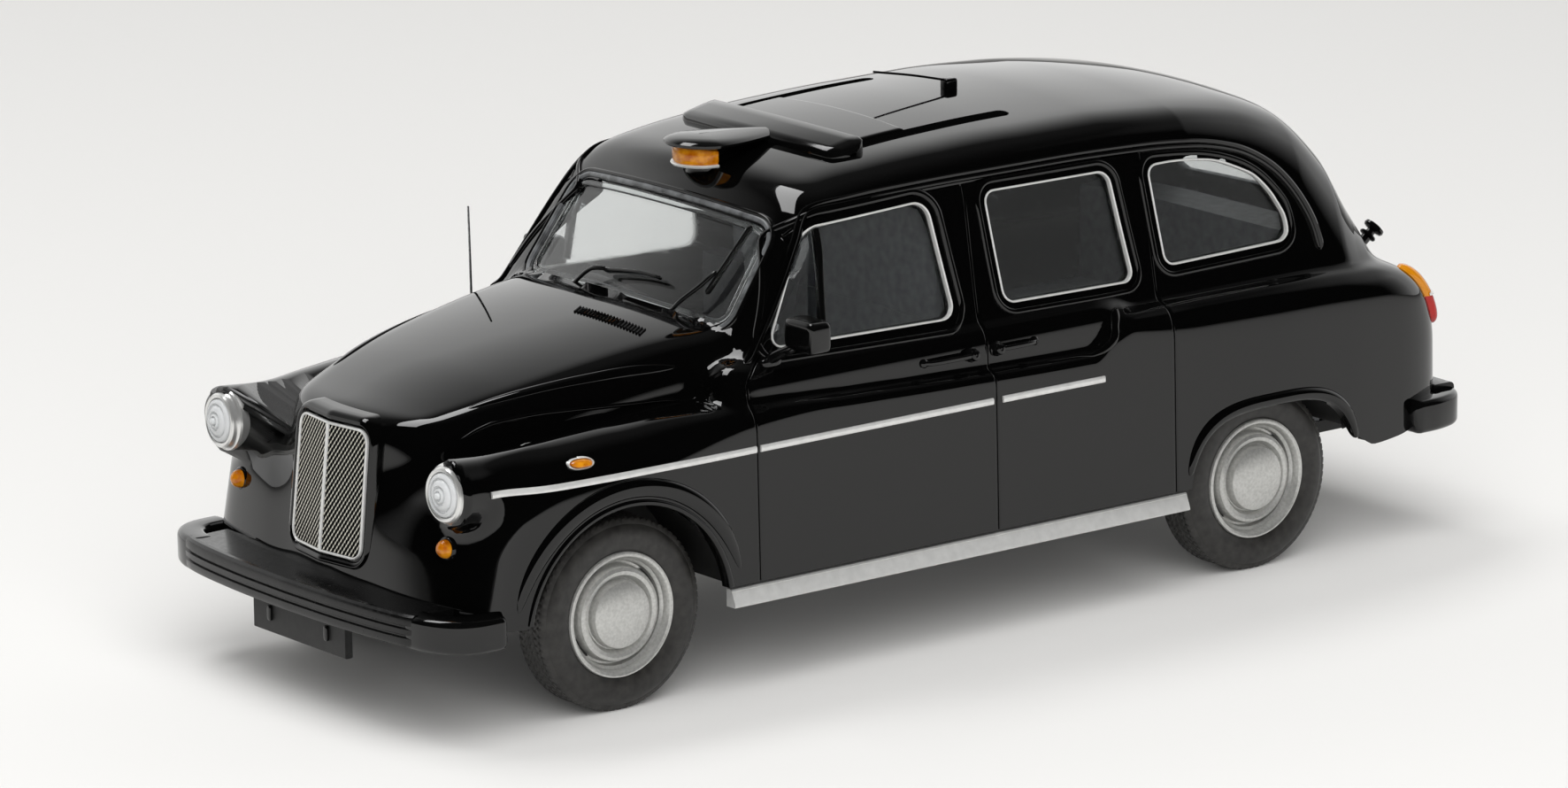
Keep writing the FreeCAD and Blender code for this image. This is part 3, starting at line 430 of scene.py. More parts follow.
def onto(start, way, inset):
    """Where rays from inside the body, all going one way, meet its skin set back by the inset."""
    return cast(xyz(*start), np.array(way, float), lambda x, y, z: form(x, y, z) + inset)


def on_side(x, z, inset=0.0):
    """Points of the left side at a given x and height."""
    return onto((x, 0, z), (0, 1, 0), inset)


def on_top(x, y, inset=0.0):
    """Points of the roof or bonnet over a given x and y."""
    return onto((x, y, SPINE_Z), (0, 0, 1), inset)


def on_end(y, z, way, inset=0.0):
    """Points of the front (way 1) or the tail (way -1) at a given y and height."""
    return onto((nose(-25) if way > 0 else nose(-60), y, z), (way, 0, 0), inset)


def on_screen(y, v, out=0.0):
    """Points of the windscreen, or a little outside it, at a given y and distance up its slope."""
    u = np.sqrt((SCREEN_R + out) ** 2 - y ** 2) - SCREEN_R
    c, s = math.cos(SCREEN_LEAN), math.sin(SCREEN_LEAN)
    return xyz(SCREEN_FOOT + u * c - v * s, y, SCREEN_Z + u * s + v * c)


def outward(p):
    """The body's outward direction at points near its skin."""
    return slope_of(form, np.asarray(p, float), 0.05)


def settle(p):
    """Slides nearby points onto the body's skin, straight along its slope."""
    p = np.array(p, float)
    for _ in range(6):
        p = p - outward(p) * sample(form, p)[..., None]
    return p


def flow(points, count, closed=False):
    """A smooth run of evenly spaced points through a few given ones."""
    k = np.array(points, float)
    if closed:
        k = np.concatenate([k[-3:], k, k[:3]])
    t = np.concatenate([[0], np.cumsum(np.linalg.norm(np.diff(k, axis=0), axis=1))])
    span = (t[3], t[-3]) if closed else (t[0], t[-1])
    at = np.linspace(*span, count + closed)[:count]
    return np.stack([curve_through(list(zip(t, k[:, i])))(at) for i in range(k.shape[1])], -1)


# ------------------------------------------------------------------ shapes as grids

def grid_part(grid, wrap=False, caps=False, facing=None):
    """A grid of points as four-sided faces. wrap joins the last column to the first; caps closes the
    two end rows; the faces are turned to enclose a positive volume, or to face the given way."""
    grid = np.asarray(grid, float)
    rows, cols = grid.shape[:2]
    n = np.arange(rows * cols).reshape(rows, cols)
    ends = [n[0].copy(), n[-1][::-1].copy()] if caps else []
    if wrap:
        n = np.concatenate([n, n[:, :1]], 1)
    quads = np.stack([n[:-1, :-1], n[1:, :-1], n[1:, 1:], n[:-1, 1:]], -1).reshape(-1, 4)
    p = grid.reshape(-1, 3)
    a, b, c, d = (p[quads[:, i]] for i in range(4))
    normal = np.cross(c - a, d - b)
    if facing is None:
        turn = np.sum(normal * ((a + c) / 2 - p.mean(0)))
    else:
        turn = np.sum(normal @ np.asarray(facing, float))
    if turn < 0:
        quads, ends = quads[:, ::-1], [e[::-1] for e in ends]
    return p, quads, ends


def mirrored(part):
    """The same part on the other side of the car, its faces turned back outwards."""
    p, quads, ends = part
    return p * MIRROR, quads[:, ::-1], [e[::-1] for e in ends]


def turned_part(centre, axis, profile, segments):
    """A profile of (radius, distance along the axis) turned about the axis."""
    axis = unit(np.array(axis, float))
    side = unit(np.cross(axis, [0, 0, 1.0] if abs(axis[2]) < 0.9 else [1.0, 0, 0]))
    other = np.cross(axis, side)
    profile = np.array(profile, float)
    t = np.linspace(0, 2 * np.pi, segments, endpoint=False)
    ring = np.cos(t)[:, None] * side + np.sin(t)[:, None] * other
    grid = np.array(centre) + profile[:, 1, None, None] * axis + profile[:, 0, None, None] * ring
    return grid_part(grid, wrap=True)


def sweep_part(path, up, profile, closed=False, scale=None):
    """A profile of (across, above) carried along a path; up is the outward direction at each point."""
    path, up = np.asarray(path, float), unit(np.broadcast_to(np.asarray(up, float), np.shape(path)))
    ahead = np.roll(path, -1, 0) - np.roll(path, 1, 0) if closed else np.gradient(path, axis=0)
    across = unit(np.cross(unit(ahead), up))
    up = np.cross(across, unit(ahead))
    profile = np.asarray(profile, float)
    size = np.ones(len(path)) if scale is None else np.asarray(scale, float)
    grid = (path[:, None] + size[:, None, None] * (profile[None, :, :1] * across[:, None]
                                                   + profile[None, :, 1:] * up[:, None]))
    if closed:
        return grid_part(np.concatenate([grid, grid[:1]]), wrap=True)
    return grid_part(grid, wrap=True, caps=True)


def raised(run, profile, **more):
    """A section carried along a run that lies on the body's skin."""
    return sweep_part(run, outward(run), profile, **more)


def half_round(width, height, sunk=0.15, count=9):
    """A low domed section whose foot is sunk under the surface that it lies on."""
    t = np.linspace(0, np.pi, count)
    top = np.stack([width / 2 * np.cos(t), height * np.sin(t)], -1)
    return np.concatenate([top, [[-width / 2, -sunk], [width / 2, -sunk]]])


def rounded(width, height, radius, corner=4):
    """A rounded rectangle as a closed run of points."""
    t = np.linspace(0, np.pi / 2, corner)
    arc = np.stack([np.cos(t), np.sin(t)], -1) * radius
    w, h = width / 2 - radius, height / 2 - radius
    turned = arc[:, ::-1]
    q = [arc + [w, h], turned * [-1, 1] + [-w, h], -arc + [-w, -h], turned * [1, -1] + [w, -h]]
    return np.concatenate(q)


def tapered_ends(count, share):
    """Sizes along a piece that round off over a share of its length at both ends."""
    t = np.linspace(0, 1, count)
    near = np.clip(np.minimum(t, 1 - t) / share, 0, 1)
    return np.sqrt(np.maximum(1 - (1 - near) ** 2, 1e-3))


def pillow_part(centre, half, power, count):
    """A rounded box: a superellipsoid, the sphere's two angles raised to a power below one."""
    a = np.linspace(-np.pi / 2, np.pi / 2, count)[:, None]
    b = np.linspace(0, 2 * np.pi, 2 * count, endpoint=False)[None]
    bend = lambda v: np.sign(v) * np.abs(v) ** (2 / power)
    level = bend(np.cos(a))
    grid = xyz(level * bend(np.cos(b)), level * bend(np.sin(b)), bend(np.sin(a)))
    return grid_part(grid * half + np.array(centre), wrap=True)


PANE_OVERLAP, PANE_DEPTH, PANE_THICK = 0.5, 0.25, 0.6


def outline_of(corners, radius, count, grow=0.0):
    """The rim of a rounded polygon, found along rays from its middle."""
    middle = np.mean(corners, 0)
    t = np.linspace(0, 2 * np.pi, count, endpoint=False)
    ray = np.stack([np.cos(t), np.sin(t)], -1)
    near, far = np.zeros(count), np.full(count, 30.0)
    for _ in range(30):
        m = (near + far) / 2
        inside = polygon_distance(*(middle + ray * m[:, None]).T, corners, radius) < grow
        near, far = np.where(inside, m, near), np.where(inside, far, m)
    return middle + ray * near[:, None]


def even(points, count):
    """The same closed run with its points evenly spaced."""
    k = np.concatenate([points, points[:1]])
    t = np.concatenate([[0], np.cumsum(np.linalg.norm(np.diff(k, axis=0), axis=1))])
    at = np.linspace(0, t[-1], count, endpoint=False)
    return np.stack([np.interp(at, t, k[:, i]) for i in range(k.shape[1])], -1)


def pane_part(place, corners, radius):
    """A pane as thick as its moulding: rings shrink from the rim to the middle on the outer face and
    again on the inner face. place turns two flat coordinates and a depth into a point."""
    rim = outline_of(corners, radius, 96, PANE_OVERLAP)
    middle = rim.mean(0)
    flat = middle + (rim - middle)[None] * np.linspace(0, 1, 10)[:, None, None]
    outer, inner = (place(flat, depth) for depth in (PANE_DEPTH, PANE_DEPTH + PANE_THICK))
    return grid_part(np.concatenate([outer, inner[::-1]]), wrap=True)


def placed(name, data):
    """A new object in the scene."""
    made = bpy.data.objects.new(name, data)
    bpy.context.scene.collection.objects.link(made)
    return made


def piece(name, parts, slot, *stands_for, body="chassis", sharp=38, normals=None):
    """Joins parts into one object at the origin, welds points that meet, closes collapsed faces and
    hangs it on its body. The names after the slot are the solids that it stands for."""
    points, quads, polys, start = [], [], [], 0
    for p, q, ends in parts:
        points.append(p)
        quads.append(q + start)
        polys += [e + start for e in ends]
        start += len(p)
    points, quads = np.concatenate(points), np.concatenate(quads)
    if normals is None:
        first, same = weld(points, 1e-5)
        points, quads = points[first], same[quads]
        polys = [same[e] for e in polys]
    polys = [e[np.r_[True, e[1:] != e[:-1]]] for e in polys]
    faces = []
    if quads.shape[1] == 4:
        gone = quads == np.roll(quads, -1, 1)
        whole = ~gone.any(1)
        faces += quads[whole].tolist()
        once = gone.sum(1) == 1
        short, lost = quads[once], gone[once].argmax(1)
        keep = np.arange(4)[None] != lost[:, None]
        faces += short[keep].reshape(-1, 3).tolist()
    else:
        faces += quads.tolist()
    faces += [e.tolist() for e in polys if len(set(e.tolist())) > 2]
    mesh = bpy.data.meshes.new(name)
    mesh.from_pydata((points * MM).tolist(), [], faces)
    mesh.polygons.foreach_set("use_smooth", np.ones(len(mesh.polygons), bool))
    if normals is not None:
        mesh.normals_split_custom_set_from_vertices(normals.tolist())
    else:
        mesh.set_sharp_from_angle(angle=math.radians(sharp))
    mesh.materials.append(FINISHES[slot])
    mesh.validate(clean_customdata=False)
    mesh.update()
    made = placed(name, mesh)
    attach(made, body)
    if stands_for:
        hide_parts(*stands_for)
    return made


def both(parts):
    """Left-hand parts with their mirror images."""
    return list(parts) + [mirrored(p) for p in parts]


# ------------------------------------------------------------------ finishes

def tone(value):
    """A grey level, or a hex colour as the linear values that the shader works in."""
    if not isinstance(value, str):
        return value, value, value, 1.0
    v = np.array([int(value[i:i + 2], 16) for i in (1, 3, 5)]) / 255
    return tuple(np.where(v <= 0.04045, v / 12.92, ((v + 0.055) / 1.055) ** 2.4)) + (1.0,)


def add(tree, kind, inputs=None, to=None, stops=(), **settings):
    """Adds a node: settings are its own, inputs are values or other nodes' sockets, to is the socket
    that its first output feeds, and stops are a ramp's places, each with a grey level or a hex colour."""
    made = tree.nodes.new(kind)
    for key, value in settings.items():
        setattr(made, key, value)
    for key, value in (inputs or {}).items():
        if isinstance(value, bpy.types.NodeSocket):
            tree.links.new(value, made.inputs[key])
        else:
            made.inputs[key].default_value = value
    for number, (position, value) in enumerate(stops):
        stop = made.color_ramp.elements[number]
        stop.position, stop.color = position, tone(value)
    if to is not None:
        tree.links.new(made.outputs[0], to)
    return made


FINISHES = {}


def finish(slot, name, lumps=None, detail=2.0, **sockets):
    """A new material for a slot, with one main shader. lumps give it a fine bump: their size in mm,
    its strength and its depth in mm. Returns the tree, shader, coordinates and the lumps' factor."""
    material = bpy.data.materials.new(name)
    material.use_nodes = True
    tree = material.node_tree
    tree.nodes.clear()
    shader = add(tree, "ShaderNodeBsdfPrincipled", {
        key.replace("_", " "): tone(v) if isinstance(v, str) else v for key, v in sockets.items()})
    add(tree, "ShaderNodeOutputMaterial", {"Surface": shader.outputs[0]})
    place = add(tree, "ShaderNodeTexCoord").outputs["Object"]
    FINISHES[slot] = material
    if lumps is None:
        return tree, shader, place, None
    size, strength, depth = lumps
    noise = add(tree, "ShaderNodeTexNoise", {"Vector": place, "Scale": 1000 / size / 2, "Detail": detail})
    add(tree, "ShaderNodeBump", {"Height": noise.outputs["Fac"], "Strength": strength,
                                 "Distance": depth * MM}, shader.inputs["Normal"])
    return tree, shader, place, noise.outputs["Fac"]


def mottled(slot, name, lumps, span, colours, **more):
    """A finish whose colour goes from the first to the second of two as its lumps go over a span."""
    tree, shader, _, factor = finish(slot, name, lumps, **more)
    add(tree, "ShaderNodeValToRGB", {"Fac": factor}, shader.inputs["Base Color"], zip(span, colours))


# Sprayed black enamel over zinc: a deep wet gloss with a trace of orange peel and a few dust nibs.
tree, shader, place, _ = finish("black_enamel", "black_enamel_sprayed", (0.5, 0.05, 0.004),
                                Base_Color="#040404", Roughness=0.035, IOR=1.5)
nib = add(tree, "ShaderNodeTexVoronoi", {"Vector": place, "Scale": 330.0, "Randomness": 1.0})
near_nib = add(tree, "ShaderNodeValToRGB", {"Fac": nib.outputs["Distance"]}, stops=[(0.02, 1.0), (0.03, 0.0)])
pick = add(tree, "ShaderNodeSeparateColor", {"Color": nib.outputs["Color"]})
few = add(tree, "ShaderNodeValToRGB", {"Fac": pick.outputs[0]}, stops=[(0.90, 0.0), (0.91, 1.0)])
dust = add(tree, "ShaderNodeMath", {0: near_nib.outputs[0], 1: few.outputs[0]}, operation="MULTIPLY")
add(tree, "ShaderNodeValToRGB", {"Fac": dust.outputs[0]}, shader.inputs["Base Color"],
    [(0.4, "#040404"), (0.6, "#75756f")])

# Injection-moulded gloss black styrene: mirror, sign, handles, fuel cap; a little softer than enamel.
finish("gloss_black", "black_styrene_moulded", (0.35, 0.08, 0.006), Base_Color="#070707", Roughness=0.08,
       IOR=1.52)

# Black ABS as moulded for the bumpers: satin, with a fine texture that breaks up reflections.
tree, shader, _, patch = finish("bumper_black", "black_abs_textured", (0.22, 0.08, 0.006), 4.0,
                                Base_Color="#090909", Roughness=0.22, IOR=1.42)
add(tree, "ShaderNodeValToRGB", {"Fac": patch}, shader.inputs["Roughness"], [(0.35, 0.16), (0.7, 0.28)])

# Unpainted black plastic of the base and the arches: matt and slightly grey.
mottled("chassis_black", "black_plastic_matt", (0.3, 0.3, 0.01), (0.3, 0.7), ("#0c0c0c", "#1a1a19"),
        detail=4.0, Base_Color="#121212", Roughness=0.55, IOR=1.49)

# Clear styrene glazing: a shiny moulding with faint hairlines from polishing.
tree, shader, place, _ = finish("clear_polystyrene", "polystyrene_clear_moulded", Base_Color="#eef0f0",
                                Roughness=0.02, IOR=1.45, Transmission_Weight=1.0)
stretch = add(tree, "ShaderNodeMapping", {"Vector": place, "Rotation": (0.5, 0.9, 0.3),
                                          "Scale": (1.0, 0.06, 1.0)})
hair = add(tree, "ShaderNodeTexNoise", {"Vector": stretch.outputs[0], "Scale": 2600.0, "Detail": 3.0})
add(tree, "ShaderNodeValToRGB", {"Fac": hair.outputs["Fac"]}, shader.inputs["Roughness"],
    [(0.5, 0.015), (0.8, 0.16)])

# Hot-foil silver printed on raised edges: bright, thin, a little uneven.
mottled("silver_print", "silver_foil_printed", (0.4, 0.05, 0.004), (0.3, 0.75), ("#d4d4d2", "#e2e2e0"),
        Base_Color="#d2d2d0", Metallic=0.45, Roughness=0.34)

# Grey styrene round the windscreen: satin and faintly translucent.
mottled("seal_grey", "grey_styrene_satin", (0.6, 0.1, 0.01), (0.3, 0.7), ("#3a3b3c", "#6a6c6e"),
        Base_Color="#4d4f50", Roughness=0.25, IOR=1.5)

# Vacuum-plated lamp bodies: soft aluminium shine.
finish("plated_plastic", "aluminium_vacuum_plated", (0.3, 0.12, 0.008), Base_Color="#e0e0de", Metallic=0.8,
       Roughness=0.3)

# Frosted clear lamp lenses: milky where the moulding is textured inside.
finish("lamp_clear", "polystyrene_clear_frosted", (0.25, 0.2, 0.01), Base_Color="#eceeef", Roughness=0.12,
       IOR=1.5, Transmission_Weight=0.3)

# Amber tinted lenses: deep orange, bright at the thin rim.
mottled("lamp_amber", "acrylic_amber_tinted", (0.4, 0.15, 0.01), (0.35, 0.65), ("#b85f06", "#eb9a1c"),
        Base_Color="#d87f0a", Roughness=0.12, IOR=1.49, Transmission_Weight=0.25)

# Tail lamps: red below and amber above, one printed moulding.
tree, shader, place, _ = finish("lamp_tail", "acrylic_red_and_amber", Base_Color="#a8180e", Roughness=0.12,
                                IOR=1.49, Transmission_Weight=0.15)
height = add(tree, "ShaderNodeSeparateXYZ", {"Vector": place}).outputs[2]
split = add(tree, "ShaderNodeMath", {0: height, 1: 0.0201}, operation="GREATER_THAN")
add(tree, "ShaderNodeValToRGB", {"Fac": split.outputs[0]}, shader.inputs["Base Color"],
    [(0.4, "#b0170f"), (0.6, "#d98a12")])

# Etched steel mesh: wires brighter on their crowns than in the holes; the holes are not cut, so the near
# black in the low parts between the wires is painted shade.
tree, shader, _, _ = finish("etched_steel", "steel_photo_etched_shade_painted_in_holes", Base_Color="#b9b6ab", Metallic=1.0,
                            Roughness=0.3)
crown = add(tree, "ShaderNodeAttribute", attribute_name="crown").outputs["Fac"]
# Painted shade: the colour goes from near black where the woven surface sinks between the wires to steel on
# their crowns.
add(tree, "ShaderNodeValToRGB", {"Fac": crown}, shader.inputs["Base Color"],
    [(0.42, "#0d0d0c"), (0.7, "#dedacf")])
add(tree, "ShaderNodeValToRGB", {"Fac": crown}, shader.inputs["Roughness"], [(0.35, 0.6), (0.6, 0.28)])

# Drawn steel of the axle rods and aerials.
mottled("steel_rod", "steel_wire_drawn", (0.15, 0.1, 0.005), (0.3, 0.7), ("#77787a", "#a8a9aa"),
        Base_Color="#8d8e8f", Metallic=1.0, Roughness=0.35)

# Silver lacquer on the wheels: fine flake, satin.
mottled("rim_silver", "silver_lacquer_wheel", (0.12, 0.03, 0.003), (0.35, 0.65), ("#bcbcb9", "#cdcdca"),
        detail=3.0, Base_Color="#c4c4c1", Metallic=0.7, Roughness=0.34)

# Soft vinyl tyres: dark grey with a dry bloom, satin rather than matt.
mottled("tyre_rubber", "vinyl_tyre_moulded", (0.35, 0.22, 0.012), (0.3, 0.72), ("#1b1a19", "#2f2e2c"),
        detail=4.0, Base_Color="#232221", Roughness=0.48, IOR=1.5)

# Grey styrene of the cabin tub: satin, with the mould's fine grain.
mottled("interior_grey", "grey_styrene_tub", (0.4, 0.3, 0.015), (0.3, 0.7), ("#585a5d", "#707275"),
        detail=3.0, Base_Color="#64666a", Roughness=0.5, IOR=1.5)

# The seat's darker grey styrene.
mottled("seat_grey", "dark_grey_styrene_seat", (0.5, 0.35, 0.02), (0.3, 0.7), ("#38393b", "#4c4d50"),
        detail=3.0, Base_Color="#2a2b2d", Roughness=0.45, IOR=1.5)


# ------------------------------------------------------------------ body

points, normals, faces = body_sheet(0.42, True, 0.0)
piece("body_enamel", [(points, faces, [])], "black_enamel", "body_shell", normals=normals)
points, normals, faces = body_sheet(1.0, False, 1.0)
piece("body_inner_wall", [(points, faces[:, ::-1], [])], "chassis_black", normals=-normals)


def beside(flat, depth):
    """A pane's place on the left side: its coordinates are x and height."""
    return on_side(flat[..., 0], flat[..., 1], depth)


def behind(flat, depth):
    """A pane's place in the tail: its coordinates are y and height."""
    return on_end(flat[..., 0], flat[..., 1], -1, depth)


def in_screen(flat, depth):
    """A pane's place in the windscreen: its coordinates are y and the way up its slope."""
    return on_screen(flat[..., 0], flat[..., 1], -depth)


panes = [pane_part(beside, *shape) for shape in WINDOWS.values()]
piece("side_panes_left", panes, "clear_polystyrene", "side_glazing_left")
piece("side_panes_right", [mirrored(p) for p in panes], "clear_polystyrene", "side_glazing_right")
piece("windscreen_pane", [pane_part(in_screen, *SCREEN_OPENING)], "clear_polystyrene", "windscreen_glass")
piece("rear_pane", [pane_part(behind, *REAR_OPENING)], "clear_polystyrene", "rear_window_glass")


def rim_path(place, shape, grow, depth=0.0, count=140):
    """Evenly spaced points round an opening, grown by a margin."""
    return place(even(outline_of(*shape, 240, grow), count), depth)


def round_window(place, shape, grow, profile):
    """A section carried round a window's opening."""
    return raised(rim_path(place, shape, grow), profile, closed=True)


piece("window_mouldings_silver",
      both([round_window(beside, opening, 0.02, half_round(0.18, 0.11, 0.4))
            for opening in WINDOWS.values()]),
      "silver_print", "window_mouldings")
frames = [round_window(beside, WINDOWS[name], grow, half_round(wide, tall, 0.2))
          for name, grow, wide, tall in (("front_door", 0.95, 0.62, 0.24), ("rear_door", 0.8, 0.5, 0.18),
                                         ("quarter", 0.85, 0.5, 0.16))]
piece("window_frames_raised", both(frames), "black_enamel")

z = np.linspace(26.9, 34.9, 24)
bar = on_side(nose(-20.8) - 0.08 * (z - 27), z, 0.1)
piece("quarterlight_bars", both([raised(bar, rounded(0.6, 0.7, 0.15))]), "gloss_black")


def screen_ring(grow, profile, depth):
    """A section carried round the windscreen's opening."""
    path = rim_path(in_screen, SCREEN_OPENING, grow, depth, 180)
    return sweep_part(path, slope_of(screen, path, 0.05), profile, closed=True)


piece("windscreen_seal_ring", [screen_ring(0.3, rounded(0.5, 0.5, 0.2), 0.05)], "seal_grey",
      "windscreen_seal")
piece("windscreen_flange", [screen_ring(-0.42, rounded(0.55, 0.3, 0.12), 0.2)], "clear_polystyrene")
piece("windscreen_rubber", [screen_ring(0.68, half_round(0.4, 0.26, 0.3), 0.0)], "gloss_black")
piece("rear_window_ring", [round_window(behind, REAR_OPENING, 0.15, rounded(0.6, 0.6, 0.25))], "seal_grey",
      "rear_window_seal")

# ---- gutter, arch lips, strips and sills: sections carried along paths that lie on the skin

gutter_side = from_axle([(-21.4, 36.2), (-25, 36.65), (-30, 36.85), (-36.2, 36.95), (-46, 36.95),
                         (-54.7, 36.75), (-60.5, 36.3), (-65, 35.3), (-68.6, 33.4), (-71.2, 30.6),
                         (-72.6, 27.9), (-73.1, 25.8)])
pillar = settle(from_axle([(-12.7, 17.6, 26.9), (-15.0, 17.05, 30.0), (-17.05, 16.4, 32.8),
                           (-18.9, 15.7, 34.7)]))
gutter = settle(flow(np.concatenate([pillar, on_side(*gutter_side.T)]), 260))
groove = [(-0.42, 0.0), (-0.36, 0.2), (-0.24, 0.26), (-0.12, 0.2), (0.0, 0.06), (0.12, 0.2),
          (0.24, 0.26), (0.36, 0.2), (0.42, 0.0), (0.4, -0.2), (-0.4, -0.2)]
piece("roof_gutters", both([raised(gutter, groove, scale=tapered_ends(260, 0.012))]),
      "black_enamel")


def arch_round(arch, t, grow=0.0):
    """Points of an arch's outline by angle in radians from straight ahead: x and z."""
    cx, cz, r = arch
    k = SQUARE[arch]
    size = (r + grow) / (np.abs(np.cos(t)) ** k + np.abs(np.sin(t)) ** k) ** (1 / k)
    return cx + size * np.cos(t), cz + size * np.sin(t)


def arch_path(arch, grow, start, stop, count):
    """A run round an arch on the body's side, by angles in degrees from straight ahead."""
    return on_side(*arch_round(arch, np.radians(np.linspace(start, stop, count)), grow))


front_lip = arch_path(FRONT_ARCH, 0, 9, 172, 90)
front_flare = arch_path(FRONT_ARCH, 1.15, 14, 166, 90)
rear_lip = arch_path(REAR_ARCH, 0.35, 26, 153, 80)
piece("wheel_arch_lips",
      both([raised(front_lip, half_round(0.5, 0.2, 0.9)),
            raised(front_flare, half_round(1.5, 0.3, 0.5), scale=tapered_ends(90, 0.3)),
            raised(rear_lip, half_round(1.1, 0.42, 0.9), scale=0.25 + 0.75 * tapered_ends(80, 0.25))]),
      "black_enamel")


def liner(arch, floor_ahead, floor_behind):
    """The black arch behind the skin: half a drum round the wheel and the wall at its inner end,
    cut level with the body's lower edge at both ends."""
    t = np.linspace(-0.1, np.pi + 0.1, 60)[:, None]
    x, z = arch_round(arch, t, 0.1)
    y = np.concatenate([np.linspace(19.0, 12.2, 8), np.full(4, 12.2)])[None]
    k = np.concatenate([np.ones(8), [0.8, 0.55, 0.3, 0.02]])[None]
    x, z = arch[0] + (x - arch[0]) * k, arch[1] + (z - arch[1]) * k
    z = np.maximum(z, np.where(x > arch[0], floor_ahead, floor_behind))
    return grid_part(xyz(x, y, z), facing=(0, 1, 0))


piece("wheel_housings", both([liner(FRONT_ARCH, 8.9, 8.9), liner(REAR_ARCH, 8.9, 10.9)]), "chassis_black")

strip = [(0.27, 0.0), (0.26, 0.14), (0.18, 0.2), (-0.18, 0.2), (-0.26, 0.14), (-0.27, 0.0), (-0.27, -0.3),
         (0.27, -0.3)]
runs = [raised(on_side(np.linspace(nose(ahead), nose(back), 60), 19.4), strip)
        for ahead, back in ((12.2, -12.0), (-12.42, -35.95), (-36.95, -47.5))]
piece("side_strips_silver", both(runs), "silver_print", "side_strips")

sill_y, sill_z = np.array([(19.3, 8.4), (19.5, 8.38), (19.62, 8.25), (19.6, 8.2), (19.82, 7.7), (20.02, 7.2),
                           (20.05, 7.05), (19.95, 6.95), (18.9, 6.95), (18.9, 8.4)]).T
x = np.linspace(nose(-9.55), nose(-56.4), 40)[:, None]
sill = xyz(x, sill_y + 0.06 * np.cos((x - nose(-33)) / 30), sill_z)
piece("sill_trims_silver", both([grid_part(sill, wrap=True, caps=True)]), "silver_print",
      "sill_trims", sharp=25)

kick = from_axle([(-42, 21.6), (-45, 21.55), (-47.3, 21.65), (-48.5, 22.3), (-49.4, 23.6), (-50.2, 24.6)])
kick = settle(flow(on_side(*kick.T), 60))
piece("waist_kicks", both([raised(kick, half_round(1.0, 0.3, 0.2),
                                  scale=np.linspace(0.15, 1, 60) * tapered_ends(60, 0.12))]),
      "black_enamel")

bonnet_edge = settle(flow(from_axle([(-9.0, 14.9, 23.0), (-7.3, 14.2, 23.05), (-1.9, 13.3, 23.2),
                                     (2.6, 12.4, 23.3), (6.9, 11.2, 22.95), (9.6, 10.3, 21.9)]), 90))
shoulder = settle(flow(from_axle([(-8.6, 14.0, 25.5), (-5.4, 13.2, 25.55), (-0.5, 12.0, 25.3),
                                  (4.1, 10.6, 24.7), (8.0, 9.2, 23.9)]), 90))
piece("bonnet_edge_lines",
      both([raised(bonnet_edge, half_round(0.34, 0.12, 0.2), scale=tapered_ends(90, 0.1)),
            raised(shoulder, half_round(0.9, 0.16, 0.2), scale=tapered_ends(90, 0.25))]), "black_enamel")

# ---- roof: sliding panel, deflector and its two channels

rear, front, middle, half = CHANNEL
ahead, astern, turn = front - half, rear + half, np.linspace(0, np.pi / 2, 8)
x = np.concatenate([astern - half * np.cos(turn), np.linspace(astern, ahead, 60)[1:-1],
                    ahead + half * np.sin(turn)])
width = np.sqrt(np.maximum(half ** 2 - (np.clip(x, astern, ahead) - x) ** 2, 1e-4)) + 0.03
trough = []
for across, depth in ((-1, -0.02), (-1, 0.5), (-0.8, 0.62), (0, 0.62), (0.8, 0.62), (1, 0.5), (1, -0.02)):
    trough.append(on_top(x, middle + across * width, depth))
piece("roof_channels", both([grid_part(np.stack(trough, 1), facing=(0, 0, 1))]), "bumper_black")


def roof_pad(x0, x1, half_y, rise):
    """A low plate on the roof: it rises over a rounded edge to an even height above the skin."""
    s, t = (np.sin(np.linspace(-1, 1, 40) * np.pi / 2).reshape(shape) for shape in ((40, 1), (1, 40)))
    half_x = (x1 - x0) / 2
    inside = np.minimum(half_x * (1 - np.abs(s)), half_y * (1 - np.abs(t)))
    up = rise * np.sqrt(np.clip(1 - (1 - np.clip(inside / 0.35, 0, 1)) ** 2, 0, 1))
    p = on_top((x0 + x1) / 2 + half_x * s, half_y * t)
    p[..., 2] += up - 0.05
    return grid_part(p, facing=(0, 0, 1))


piece("sliding_roof_panel", [roof_pad(nose(-36.3), nose(-29.3), 8.15, 0.2)], "black_enamel")

y = np.concatenate([[-10.5, -10.4, -10.2], np.linspace(-9.9, 9.9, 40), [10.2, 10.4, 10.5]])
shrink = np.sqrt(np.clip(1 - (np.clip(np.abs(y) - 9.4, 0, 2) / 1.12) ** 2, 0.02, 1))
section = [(-26.3, -0.1), (-26.32, 0.4), (-26.45, 0.58), (-27.2, 0.72), (-28.6, 0.9), (-29.5, 1.0),
           (-29.75, 0.9), (-29.8, 0.6), (-29.8, -0.1)]
rows = []
for s, up in section:
    p = on_top(nose(-28.0 + (s + 28.0) * shrink - 0.011 * y * y), y)
    p[:, 2] += up * shrink
    rows.append(p)
piece("roof_deflector_bar", [grid_part(np.stack(rows), facing=(0, 0, 1))], "gloss_black",
      "roof_deflector", sharp=40)

# ---- roof sign: boat-shaped cap, blank amber lens, keel and foot

t = np.linspace(0, 2 * np.pi, 72, endpoint=False)
bow, stern, beam, broad, SIGN_Y = nose(-17.9), nose(-29.3), 3.1, nose(-20.7), 1.5


def plan(size, lengthen=1.0):
    """The cap's outline from above: half an ellipse in front, a long taper to the stern."""
    front_half = np.cos(t) > 0
    x = np.where(front_half, broad + (bow - broad) * np.cos(t) * size,
                 broad + (broad - stern) * np.cos(t) * lengthen)
    y = beam * np.sin(t) * np.where(front_half, 1, 1 - 0.55 * np.abs(np.cos(t)) ** 1.4) * size
    return x, y + SIGN_Y


